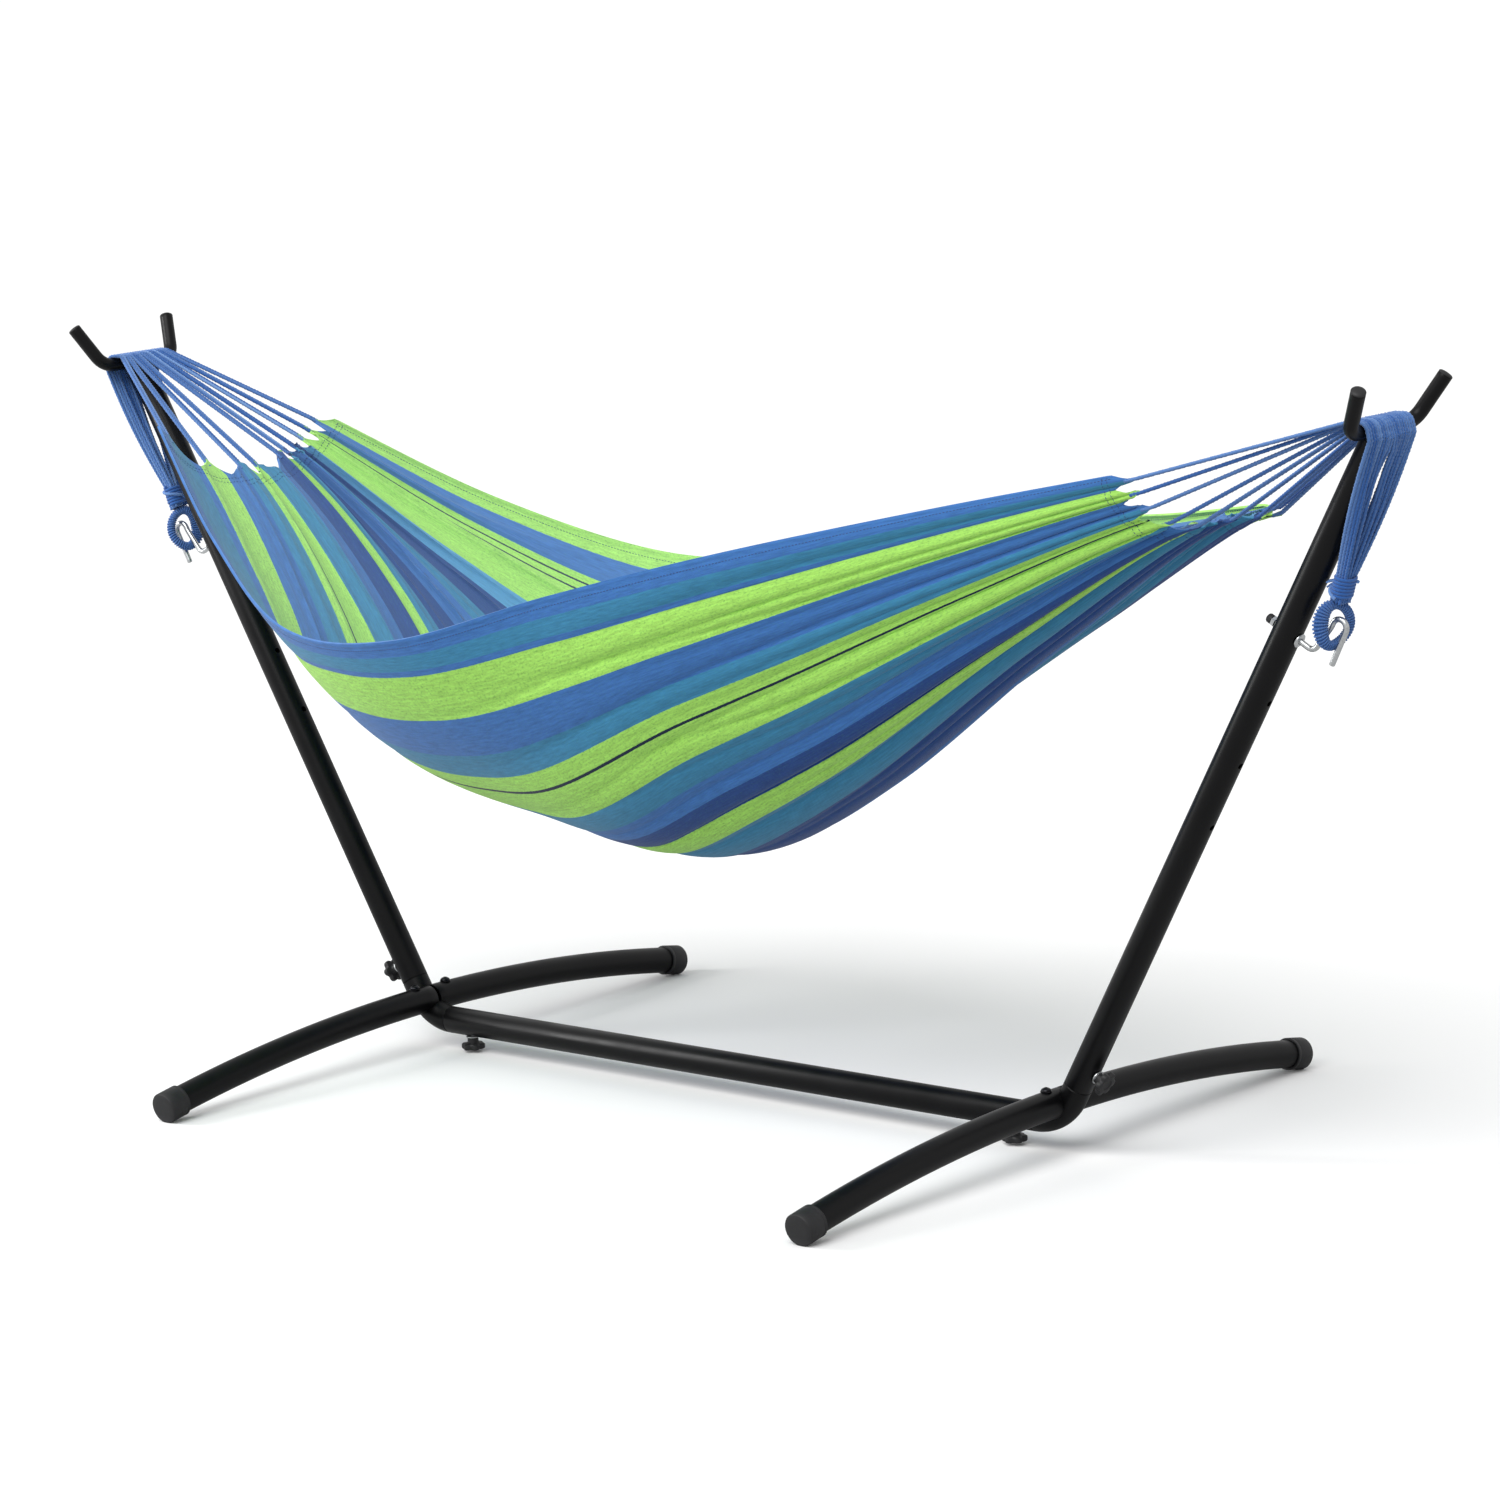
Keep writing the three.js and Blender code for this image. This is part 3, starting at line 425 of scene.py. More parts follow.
for end, turn in ENDS:
    for side in (-1, 1):
        place_name = side_name(end, side)
        arch = [foot_point(FOOT_LENGTH - CAP_PATH + CAP_PATH * i / 20, side) for i in range(21)]
        mouth = CAP_PATH - CAP_SLEEVE - CAP_END
        bore = TUBE_RADIUS + 0.4 * MM
        outline = [
            (CAP_PATH, 0), (CAP_PATH, CAP_RADIUS * 0.55), (CAP_PATH - 0.3 * MM, CAP_RADIUS - 3.2 * MM),
            (CAP_PATH - 1.1 * MM, CAP_RADIUS - 1.1 * MM), (CAP_PATH - 2.8 * MM, CAP_RADIUS),
            (CAP_PATH - 12 * MM, CAP_RADIUS), (mouth + 7 * MM, CAP_RADIUS), (mouth + 6 * MM, CAP_RADIUS - 0.5 * MM),
            (mouth + 5 * MM, CAP_RADIUS - 0.5 * MM), (mouth + 4 * MM, CAP_RADIUS), (mouth + 0.6 * MM, CAP_RADIUS),
            (mouth, CAP_RADIUS - 0.6 * MM), (mouth, bore), (CAP_PATH - CAP_END, bore), (CAP_PATH - CAP_END, 0),
        ]
        cap = turned(f"{end}_{place_name}_cap", arch, X, outline, moulded, sides=64)
        for vertex in cap.data.vertices:
            vertex.co.z = max(vertex.co.z, 0.0)
        fit(cap, turn, f"{end}_{place_name}_foot_cap")

# ---- Uprights ---------------------------------------------------------------------------------
# Straight tubes over the corner's longer spigots. A row of holes goes right through the upper half,
# so that the hook bolt can sit higher or lower.
UPRIGHT_TOP = up_from_corner("right_upright") * 2 - UPRIGHT_START
HOOK_BOLT_AT = up_from_corner("right_hook_bolt_washer")
HOLE_PITCH = 100 * MM
HOLE_COUNT = 4
HOLE_RADIUS = 4.4 * MM

for end, turn in ENDS:
    pole = turned(
        f"{end}_upright_tube", [on_upright(UPRIGHT_START), on_upright(UPRIGHT_TOP)], Y,
        tube_outline(0, UPRIGHT_TOP - UPRIGHT_START, TUBE_RADIUS, TUBE_BORE), powder_coat,
    )
    drills = []
    for i in range(HOLE_COUNT):
        at = HOOK_BOLT_AT - i * HOLE_PITCH
        axis = [on_upright(at, -2 * TUBE_RADIUS), on_upright(at, 2 * TUBE_RADIUS)]
        outline = [(0, 0), (0, HOLE_RADIUS), (4 * TUBE_RADIUS, HOLE_RADIUS), (4 * TUBE_RADIUS, 0)]
        drills.append(turned(f"drill_{i}", axis, Y, outline, powder_coat, sides=24))
    cut(pole, *drills)
    fit(pole, turn, f"{end}_upright")

# ---- Forked hooks -----------------------------------------------------------------------------
# A round bar is bent to a wide, flat-bottomed fork and welded to a collar and plug that drop into
# the upright. The ends of the fork are plugged.
FORK_RADIUS = 10 * MM
FORK_BORE = 8 * MM
SADDLE = 1122 * MM  # the saddle's axis, along the upright
SADDLE_HALF = 70 * MM
PRONG_RISE = 66 * MM
PRONG_SPLAY = 24 * MM
FORK_BEND = 26 * MM
COLLAR = 10 * MM
PLUG = 60 * MM
WELD = 3.2 * MM
TIP_STEM = 12 * MM
TIP_CROWN = 4 * MM


def rounded(points, bend, count=14):
    """A run of straight lines with its corners rounded to a radius."""
    path = [points[0]]
    for before, corner, after in zip(points, points[1:], points[2:]):
        inward, onward = (before - corner).normalized(), (after - corner).normalized()
        half = inward.angle(onward) / 2
        cut_back = bend / math.tan(half)
        centre = corner + (inward + onward).normalized() * (bend / math.sin(half))
        first, last = corner + cut_back * inward - centre, corner + cut_back * onward - centre
        sweep = first.angle(last)
        for i in range(count + 1):
            share = i / count
            spoke = (math.sin((1 - share) * sweep) * first + math.sin(share * sweep) * last) / math.sin(sweep)
            path.append(centre + spoke)
    return path + [points[-1]]


def path_length(path):
    return sum((b - a).length for a, b in zip(path, path[1:]))


def join(name, parts):
    """One piece in place of several, in the first one's material."""
    work = bmesh.new()
    for part in parts:
        work.from_mesh(part.data)
    whole = bpy.data.meshes.new(name)
    work.to_mesh(whole)
    work.free()
    whole.materials.append(parts[0].data.materials[0])
    for part in parts:
        bpy.data.objects.remove(part)
    return new_object(name, whole)


def prong_tip(side):
    return on_upright(SADDLE + PRONG_RISE) + side * (SADDLE_HALF + PRONG_SPLAY) * Y


def prong_direction(side):
    return (PRONG_RISE * ALONG + side * PRONG_SPLAY * Y).normalized()


for end, turn in ENDS:
    corners = [
        prong_tip(-1), on_upright(SADDLE) - SADDLE_HALF * Y, on_upright(SADDLE) + SADDLE_HALF * Y, prong_tip(1),
    ]
    fork_path = rounded(corners, FORK_BEND)
    bar = turned(
        f"{end}_fork_bar", fork_path, OUTWARD,
        tube_outline(0, path_length(fork_path), FORK_RADIUS, FORK_BORE, lip=0.5 * MM, step=4 * MM), powder_coat,
        sides=40,
    )
    top = UPRIGHT_TOP + 0.3 * MM
    collar_path = [on_upright(top - PLUG), on_upright(top + COLLAR)]
    crown = PLUG + COLLAR
    collar = turned(f"{end}_fork_collar", collar_path, Y, [
        (crown, 0), (crown, TUBE_RADIUS - 5 * MM), (crown - 0.8 * MM, TUBE_RADIUS - 1.5 * MM),
        (crown - 2.4 * MM, TUBE_RADIUS), (PLUG + 0.8 * MM, TUBE_RADIUS), (PLUG, TUBE_RADIUS - 0.8 * MM),
        (PLUG, SPIGOT_RADIUS), (0, SPIGOT_RADIUS), (0, SPIGOT_BORE), (PLUG - 2 * MM, SPIGOT_BORE), (PLUG - 2 * MM, 0),
    ], powder_coat)
    seam = []
    for i in range(49):
        angle = 2 * math.pi * i / 48
        y = (TUBE_RADIUS - 4.5 * MM) * math.cos(angle)
        outward = (FORK_RADIUS - 1 * MM) * math.sin(angle)
        seam.append(on_upright(top + COLLAR, outward) + y * Y)
    bead_outline = [(path_length(seam) * i / 96, WELD * (1 + 0.12 * (-1) ** i) * 0.7) for i in range(97)]
    bead_outline[-1] = bead_outline[0]
    bead = turned(f"{end}_fork_weld", seam, ALONG, bead_outline, powder_coat, sides=12, sharp=80)
    fork = join(f"{end}_fork", [bar, collar, bead])
    fit(fork, turn, f"{end}_forked_hook")
    for side in (-1, 1):
        at, onward, inner = prong_tip(side), prong_direction(side), FORK_BORE - 0.3 * MM
        tip_outline = [
            (0, 0), (0, inner), (TIP_STEM + 0.2 * MM, inner), (TIP_STEM + 0.2 * MM, FORK_RADIUS),
            (TIP_STEM + 1.4 * MM, FORK_RADIUS), (TIP_STEM + 2.3 * MM, FORK_RADIUS - 0.7 * MM),
            (TIP_STEM + 3.2 * MM, FORK_RADIUS - 2.4 * MM), (TIP_STEM + 3.8 * MM, FORK_RADIUS - 5.4 * MM),
            (TIP_STEM + TIP_CROWN, 0),
        ]
        tip = turned(
            f"{end}_{side_name(end, side)}_prong_plug", [at - TIP_STEM * onward, at + TIP_CROWN * onward], OUTWARD,
            tip_outline, moulded, sides=32,
        )
        fit(tip, turn, f"{end}_{side_name(end, side)}_hook_tip")

# ---- Foot bolts -------------------------------------------------------------------------------
# Dome-headed socket bolts, chemically blackened, hold each foot on its stub.
BOLT_REACH = 32 * MM
DOME_RADIUS = 7 * MM
DOME_HEIGHT = 4.9 * MM
SOCKET_RADIUS = 2.6 * MM
BLOOM = 3 * MM  # breadth of a patch where the blacking has taken more

blackened, tree = new_material("black_oxide_steel")
place = add_node(tree, "ShaderNodeTexCoord").outputs["Object"]
bloom = noise(tree, place, 1 / BLOOM, 4.0)
surface(tree, {
    "Base Color": mixed(tree, bloom, "#131316", "#2b2b30"), "Roughness": ranged(tree, bloom, 0.24, 0.42),
    "Metallic": 0.7,
})

for end, turn in ENDS:
    for side in (-1, 1):
        seat = CORNER + side * BOLT_REACH * Y + (FOOT_APEX + TUBE_RADIUS - 0.1 * MM) * Z
        dome = [(8 * MM, 0), (8 * MM, 3 * MM), (10 * MM, 3 * MM), (10 * MM, DOME_RADIUS + 1.2 * MM)]
        dome += [(11 * MM, DOME_RADIUS + 1.2 * MM), (11 * MM, DOME_RADIUS)]
        for i in range(1, 6):
            angle = math.radians(15 * i)
            dome.append((11 * MM + DOME_HEIGHT * math.sin(angle), DOME_RADIUS * math.cos(angle) + 0.6 * MM))
        crown = 11 * MM + DOME_HEIGHT
        dome += [(crown, SOCKET_RADIUS), (crown - 2.5 * MM, SOCKET_RADIUS * 0.96), (crown - 2.5 * MM, 0)]
        place_name = side_name(end, side)
        axis = [seat - 10 * MM * Z, seat + 20 * MM * Z]
        bolt = turned(f"{end}_{place_name}_dome_bolt", axis, Y, dome, blackened, sides=30)
        fit(bolt, turn, f"{end}_{place_name}_foot_bolt")

# ---- Clamping knobs ---------------------------------------------------------------------------
# Moulded star knobs on zinc-plated studs, one under each end of the base tube and one behind the
# foot of each upright. Each bears on a plain washer.
STUD_RADIUS = 4 * MM
THREAD_PITCH = 1.25 * MM
KNOB_RADIUS = 16 * MM
KNOB_LOBE = 1.9 * MM
KNOB_LOBES = 6
KNOB_HEAD = 9 * MM
KNOB_BOSS = 8 * MM
KNOB_SEAT = 2.6 * MM  # the washer under a knob lifts it this far off the tube
ZINC_SPANGLE = 2.4 * MM

zinc, tree = new_material("bright_zinc_plated_steel")
place = add_node(tree, "ShaderNodeTexCoord").outputs["Object"]
spangle = noise(tree, place, 1 / ZINC_SPANGLE, 5.0)
surface(tree, {
    "Base Color": mixed(tree, spangle, "#a9adb0", "#e6e8e8"), "Roughness": ranged(tree, spangle, 0.2, 0.4),
    "Metallic": 1.0,
})


def threaded(start, end, radius):
    """The outline of a threaded stretch, ridge by ridge."""
    outline = []
    count = round((end - start) / THREAD_PITCH)
    for i in range(count):
        at = start + i * THREAD_PITCH
        outline += [(at, radius - 0.55 * MM), (at + 0.4 * THREAD_PITCH, radius), (at + 0.6 * THREAD_PITCH, radius)]
    return outline


def star_knob(name, foot, direction, across):
    """A star knob whose boss stands on a point and whose head faces a direction."""
    third = direction.cross(across)
    top = KNOB_BOSS + KNOB_HEAD
    rings = (  # height, share of the star's radius, share of its lobes
        (0, 0, 0), (0, 0.30, 0), (0, 0.50, 0), (KNOB_BOSS - 1 * MM, 0.53, 0), (KNOB_BOSS, 0.62, 0.2),
        (KNOB_BOSS + 0.4 * MM, 0.90, 0.8), (KNOB_BOSS + 1.6 * MM, 0.985, 1), (KNOB_BOSS + 3.4 * MM, 1.0, 1),
        (top - 2.2 * MM, 1.0, 1), (top - 0.8 * MM, 0.96, 1), (top, 0.88, 0.9), (top, 0.55, 0.1),
        (top - 1.2 * MM, 0.48, 0), (top - 1.2 * MM, 0, 0),
    )
    sides = 72
    points, loops, faces = [], [], []
    for height, share, lobes in rings:
        centre = foot + height * direction
        if share == 0:
            loops.append([len(points)] * sides)
            points.append(centre)
            continue
        loops.append(list(range(len(points), len(points) + sides)))
        for i in range(sides):
            angle = 2 * math.pi * i / sides
            wave = math.cos(KNOB_LOBES * angle)
            radius = share * KNOB_RADIUS + lobes * KNOB_LOBE * (1 - 2 * abs(math.sin(KNOB_LOBES * angle / 2)) ** 3)
            radius -= 0.02 * lobes * wave * KNOB_LOBE
            points.append(centre + radius * (math.cos(angle) * across + math.sin(angle) * third))
    for low, high in zip(loops, loops[1:]):
        for i in range(sides):
            j = (i + 1) % sides
            face = dict.fromkeys((low[i], high[i], high[j], low[j]))
            faces.append(tuple(face))
    return mesh_piece(name, points, faces, moulded)


for end, turn in ENDS:
    under_base = Vector((middle("right_base_washer").x, 0, BASE_HEIGHT - TUBE_RADIUS - KNOB_SEAT))
    behind_upright = on_upright(up_from_corner("right_upright_washer"), TUBE_RADIUS + KNOB_SEAT)
    for kind, foot, direction in (("base", under_base, -Z), ("upright", behind_upright, OUTWARD)):
        body = f"{end}_{kind}_knob_set"
        knob = star_knob(f"{end}_{kind}_star_knob", foot, direction, Y)
        fit(knob, turn, f"{end}_{kind}_knob", body)
        stud_path = [foot - 12 * MM * direction, foot + 7 * MM * direction]
        stud_outline = [(0, 0), *threaded(0, 13 * MM, STUD_RADIUS), (14 * MM, STUD_RADIUS - 0.5 * MM)]
        stud_outline += [(19 * MM, STUD_RADIUS), (19 * MM, 0)]
        stud = turned(f"{end}_{kind}_knob_stud", stud_path, Y, stud_outline, zinc, sides=24, sharp=25)
        fit(stud, turn, f"{end}_{kind}_stud", body)
        washer_outline = [
            (0.1 * MM, 4.4 * MM), (0.1 * MM, 9.7 * MM), (0.5 * MM, 10 * MM), (1.6 * MM, 10 * MM), (2.0 * MM, 9.7 * MM),
            (2.0 * MM, 7.4 * MM), (3.3 * MM, 7.2 * MM), (3.3 * MM, 4.4 * MM), (0.1 * MM, 4.4 * MM),
        ]
        washer_path = [foot - KNOB_SEAT * direction, foot]
        washer = turned(f"{end}_{kind}_knob_washer", washer_path, Y, washer_outline, zinc, sides=36)
        fit(washer, turn, f"{end}_{kind}_washer", body)

# ---- Hook bolts -------------------------------------------------------------------------------
# Bent zinc-plated rods through the top hole of each upright, with a wide washer outside and a nut
# and a push-on cap inside. The eye of the strings hangs in the crook.
CROOK_INNER = 54 * MM
CROOK_RADIUS = 11 * MM
CROOK_HEIGHT = 50 * MM
HOOK_BOLT_INNER = 34 * MM


def bolt_point(outward, rise):
    return on_upright(HOOK_BOLT_AT + rise, outward)


for end, turn in ENDS:
    path = rounded([
        bolt_point(-HOOK_BOLT_INNER, 0), bolt_point(46 * MM, 0), bolt_point(CROOK_INNER, CROOK_HEIGHT - 6 * MM),
        bolt_point(CROOK_INNER, CROOK_HEIGHT),
    ], 11 * MM, count=10)
    for i in range(1, 17):
        angle = math.pi * (1 - i / 16)
        path.append(bolt_point(
            CROOK_INNER + CROOK_RADIUS * (1 + math.cos(angle)), CROOK_HEIGHT + CROOK_RADIUS * math.sin(angle),
        ))
    path.append(bolt_point(CROOK_INNER + 2 * CROOK_RADIUS + 2 * MM, 0))
    length = path_length(path)
    rod = turned(
        f"{end}_bent_bolt", path, Y,
        [(0, 0), *threaded(0, 16 * MM, STUD_RADIUS), (16.5 * MM, STUD_RADIUS)]
        + [(16.5 * MM + (length - 18 * MM) * i / 60, STUD_RADIUS) for i in range(1, 61)]
        + [(length - 0.5 * MM, STUD_RADIUS - 0.4 * MM), (length, STUD_RADIUS - 1.2 * MM), (length, 0)],
        zinc, sides=28, sharp=25,
    )
    fit(rod, turn, f"{end}_hook_bolt")
    washer = turned(
        f"{end}_wide_washer", [bolt_point(TUBE_RADIUS, 0), bolt_point(TUBE_RADIUS + 5 * MM, 0)], Y,
        [
            (0.3 * MM, 4.5 * MM), (0.1 * MM, 9.6 * MM), (0.5 * MM, 10 * MM), (1.7 * MM, 10 * MM), (2.1 * MM, 9.6 * MM),
            (3.0 * MM, 7.0 * MM), (3.3 * MM, 4.5 * MM), (0.3 * MM, 4.5 * MM),
        ], zinc, sides=40,
    )
    fit(washer, turn, f"{end}_hook_bolt_washer")
    nut = turned(
        f"{end}_hex_nut", [bolt_point(-TUBE_RADIUS, 0), bolt_point(-TUBE_RADIUS - 7 * MM, 0)], Y,
        [
            (0.2 * MM, 4.5 * MM), (0.2 * MM, 6.4 * MM), (0.9 * MM, 7.5 * MM), (5.8 * MM, 7.5 * MM),
            (6.5 * MM, 6.4 * MM), (6.5 * MM, 4.5 * MM), (0.2 * MM, 4.5 * MM),
        ], zinc, sides=6, sharp=20,
    )
    fit(nut, turn, f"{end}_hook_bolt_nut")
    start = 6.9 * MM
    cap = turned(
        f"{end}_bolt_cap", [bolt_point(-TUBE_RADIUS, 0), bolt_point(-TUBE_RADIUS - 16 * MM, 0)], Y,
        [
            (start + 7.6 * MM, 0), (start + 7.6 * MM, 4.4 * MM), (start, 4.4 * MM), (start, 6.5 * MM),
            (start + 5.6 * MM, 6.5 * MM), (start + 7.4 * MM, 5.4 * MM), (start + 8.6 * MM, 3.2 * MM),
            (start + 9 * MM, 0),
        ], moulded, sides=30,
    )
    fit(cap, turn, f"{end}_hook_bolt_cap")

# ---- Hammock cloth ----------------------------------------------------------------------------
# One width of striped cotton and polyester canvas, woven plain, with its rims turned in and sewn.
# Each end is sewn into ten gathered tabs, one for each pair of strings.
CLOTH_STATIONS = np.array([  # along the stand, half width, height of the rims, drop, fullness, tilt to the back
    (-950, 152, 932, 60, 1.7, 0), (-700, 281, 793, 135, 1.9, 0), (-450, 393, 706, 265, 1.9, 0),
    (-200, 424, 713, 330, 1.7, 0), (50, 372, 783, 425, 1.4, 0), (300, 299, 846, 370, 1.3, 18),
    (600, 201, 909, 215, 1.1, 62), (870, 114, 960, 95, 1.0, 68),
])
LEFT_END = (-25, 22, 10)  # how far along the front rim, the middle and the back rim run past the first station
RIGHT_END = (-7, 60, 56)
LEFT_LIFT = 34  # the front rim is drawn up towards the hook
RIGHT_LIFT = 36  # the back half of the right-hand end is drawn up level by its strings
TAB_EDGES = np.array([0, 0.055, 0.115, 0.19, 0.29, 0.40, 0.60, 0.80, 0.87, 0.935, 1])
TAB_NOTCH = 30  # how far the cloth stands back between two tabs
CLOTH_HALF = 0.8  # half the cloth's thickness
HEM_HALF = 1.9
TIP_HALF = 3.4
CREASES_RIGHT, CREASES_LEFT = 28, 16
# Where places across the flat cloth lie round its section: at the left-hand end, and in the belly.
SPREAD_KNOTS = [0, 0.052, 0.104, 0.148, 0.175, 0.248, 0.354, 0.39, 0.80, 0.95, 0.98, 1]
SPREAD_AT_LEFT = [0, 0.205, 0.325, 0.42, 0.475, 0.535, 0.683, 0.708, 0.81, 0.935, 0.97, 1]
SPREAD_IN_BELLY = [0, 0.05, 0.132, 0.208, 0.26, 0.37, 0.47, 0.50, 0.82, 0.94, 0.975, 1]


def through(values, share, run_on):
    """A smooth curve through the stations' values, at a share of their count."""
    before = 2 * values[0] - values[1] if run_on else values[0]
    after = 2 * values[-1] - values[-2] if run_on else values[-1]
    knots = np.concatenate([[before], values, [after]])
    at = np.clip(share, 0, 1) * (len(values) - 1)
    i = np.minimum(at.astype(int), len(values) - 2)
    f = at - i
    a, b, c, d = (knots[i + k] for k in range(4))
    return 0.5 * (2 * b + (c - a) * f + (2 * a - 5 * b + 4 * c - d) * f ** 2 + (3 * b - a - 3 * c + d) * f ** 3)


def ease(low, high, value):
    share = np.clip((value - low) / (high - low), 0, 1)
    return share * share * (3 - 2 * share)


def cloth_point(long, across):
    """Points of the cloth's middle layer in millimetres, for arrays of places along and across it."""
    x, width, rim = (through(CLOTH_STATIONS[:, k], long, True) for k in (0, 1, 2))
    drop, fullness = (through(CLOTH_STATIONS[:, k], long, False) for k in (3, 4))
    in_belly, at_left = ease(200, -340, x), ease(-340, -950, x)
    placed = across + in_belly * (np.interp(across, SPREAD_KNOTS, SPREAD_IN_BELLY) - across)
    placed += at_left * (np.interp(across, SPREAD_KNOTS, SPREAD_AT_LEFT) - placed)
    angles = np.linspace(0, np.pi, 161)
    section_y = -width[..., None] * np.cos(angles)
    section_z = rim[..., None] - drop[..., None] * np.sin(angles) ** fullness[..., None]
    steps = np.hypot(np.diff(section_y, axis=-1), np.diff(section_z, axis=-1))
    reach = np.concatenate([np.zeros_like(steps[..., :1]), np.cumsum(steps, axis=-1)], axis=-1)
    want = placed * reach[..., -1]
    y, z = np.empty_like(x), np.empty_like(x)
    for index in np.ndindex(x.shape):
        y[index] = np.interp(want[index], reach[index], section_y[index])
        z[index] = np.interp(want[index], reach[index], section_z[index])
    to_middle, to_back = ease(0, 0.5, placed), ease(0.5, 1, placed)
    for (front, middle, back), near in ((LEFT_END, 1 - long), (RIGHT_END, long)):
        run = front + (middle - front) * to_middle
        x = x + (run + (back - run) * to_back) * near ** 6
    z = z - through(CLOTH_STATIONS[:, 5], long, False) * to_back
    z = z + RIGHT_LIFT * np.sin(np.pi * np.clip((placed - 0.25) / 0.75, 0, 1)) * long ** 10
    z = z + LEFT_LIFT * ease(0.22, 0, placed) * (1 - long) ** 10
    return np.stack([x, y, z], axis=-1), placed


SECTION = 1820.0  # the cloth's length between its tab lines, for shares of it
ROWS, COLUMNS, END_COLUMNS = 350, 100, 16
rim_rows = [0.004, 0.008, 0.012, 0.988, 0.992, 0.996]
rows = np.unique(np.round(np.concatenate([np.linspace(0, 1, ROWS), TAB_EDGES, rim_rows]), 5))
rows = rows[np.concatenate([[True], np.diff(rows) > 0.0004])]
columns = np.concatenate([
    0.05 * np.linspace(0, 1, END_COLUMNS)[:-1], 0.05 + 0.9 * np.linspace(0, 1, COLUMNS),
    0.95 + 0.05 * np.linspace(0, 1, END_COLUMNS)[1:],
])
tab = np.clip(np.searchsorted(TAB_EDGES, rows, side="right") - 1, 0, len(TAB_EDGES) - 2)
tab_middle = (TAB_EDGES[tab] + TAB_EDGES[tab + 1]) / 2
tab_half = (TAB_EDGES[tab + 1] - TAB_EDGES[tab]) / 2
in_tab = (rows - tab_middle) / tab_half
notch = TAB_NOTCH * np.abs(in_tab) ** 1.3 / SECTION
long = notch[:, None] + (1 - 2 * notch[:, None]) * columns[None, :]
back = np.minimum(long, 1 - long) * SECTION
tip = np.clip(1 - back / TAB_NOTCH, 0, 1)
across = tab_middle[:, None] + tab_half[:, None] * in_tab[:, None] * (1 - 0.75 * tip)
middle_layer, placed = cloth_point(long, across)
along_cloth = np.gradient(middle_layer, axis=1)
across_cloth = np.gradient(middle_layer, axis=0)
outward = np.cross(along_cloth, across_cloth)
outward /= np.linalg.norm(outward, axis=-1)[..., None]
if outward[len(rows) // 2, COLUMNS // 2, 2] > 0:
    outward = -outward
flat_x = through(CLOTH_STATIONS[:, 0], long, True)
section_width = through(CLOTH_STATIONS[:, 1], long, True) * 2.4
pleats = ease(-100, 820, flat_x) + 0.8 * ease(-420, -930, flat_x)
pleat_height = np.clip(0.25 * 2 * tab_half[:, None] * section_width, 4, 13)
random = np.random.default_rng(7)
creases = np.zeros_like(flat_x)
for i in range(CREASES_RIGHT + CREASES_LEFT):
    from_right = i < CREASES_RIGHT
    number, count = (i, CREASES_RIGHT) if from_right else (i - CREASES_RIGHT, CREASES_LEFT)
    centre = 0.02 + 0.96 * (number + random.uniform(0.1, 0.9)) / count
    breadth, lean = random.uniform(0.004, 0.010), random.uniform(-0.045, 0.045)
    reach_in = random.uniform(0.45, 0.85) if from_right else random.uniform(0.25, 0.45)
    fade = ease(1 - reach_in, 0.8, long) if from_right else ease(reach_in, 0.1, long)
    line = centre + lean * (1 - fade)
    creases -= random.uniform(3.5, 10) * fade * np.exp(-np.abs(across - line) / breadth)
slack = 1.6 * np.sin(2 * np.pi * (3.1 * long + 2.3 * across)) * np.sin(np.pi * long)
shaped = middle_layer + outward * (
    pleats * pleat_height * (0.7 - np.abs(in_tab) ** 2.2)[:, None] + creases + slack
)[..., None]
at_hem = np.maximum(ease(0.007, 0.004, rows), ease(0.993, 0.996, rows))[:, None]
half = CLOTH_HALF + (HEM_HALF - CLOTH_HALF) * at_hem
half = np.maximum(half, CLOTH_HALF + (TIP_HALF - CLOTH_HALF) * ease(0.15, 1.0, tip))
tab_hem = (back < 34) & (back > 0)
half = np.maximum(half, np.where(tab_hem, 1.5, 0))
normals = np.cross(np.gradient(shaped, axis=1), np.gradient(shaped, axis=0))
normals /= np.linalg.norm(normals, axis=-1)[..., None]
normals *= np.sign((normals * outward).sum(axis=-1))[..., None]
outer = (shaped + normals * half[..., None]) * MM
inner = (shaped - normals * half[..., None]) * MM
row_count, column_count = flat_x.shape
points = np.concatenate([outer.reshape(-1, 3), inner.reshape(-1, 3)])
number = np.arange(row_count * column_count).reshape(row_count, column_count)
inside_number = number + row_count * column_count


def grid_faces(grid, flipped=False):
    quads = np.stack([grid[:-1, :-1], grid[:-1, 1:], grid[1:, 1:], grid[1:, :-1]], axis=-1).reshape(-1, 4)
    return (quads[:, ::-1] if flipped else quads).tolist()


faces = grid_faces(number) + grid_faces(inside_number, True)
for edge_outer, edge_inner in (
    (number[0], inside_number[0]), (number[-1], inside_number[-1]),
    (number[:, 0], inside_number[:, 0]), (number[:, -1], inside_number[:, -1]),
):
    faces += [(a, b, d, c) for a, b, c, d in zip(edge_outer, edge_outer[1:], edge_inner, edge_inner[1:])]

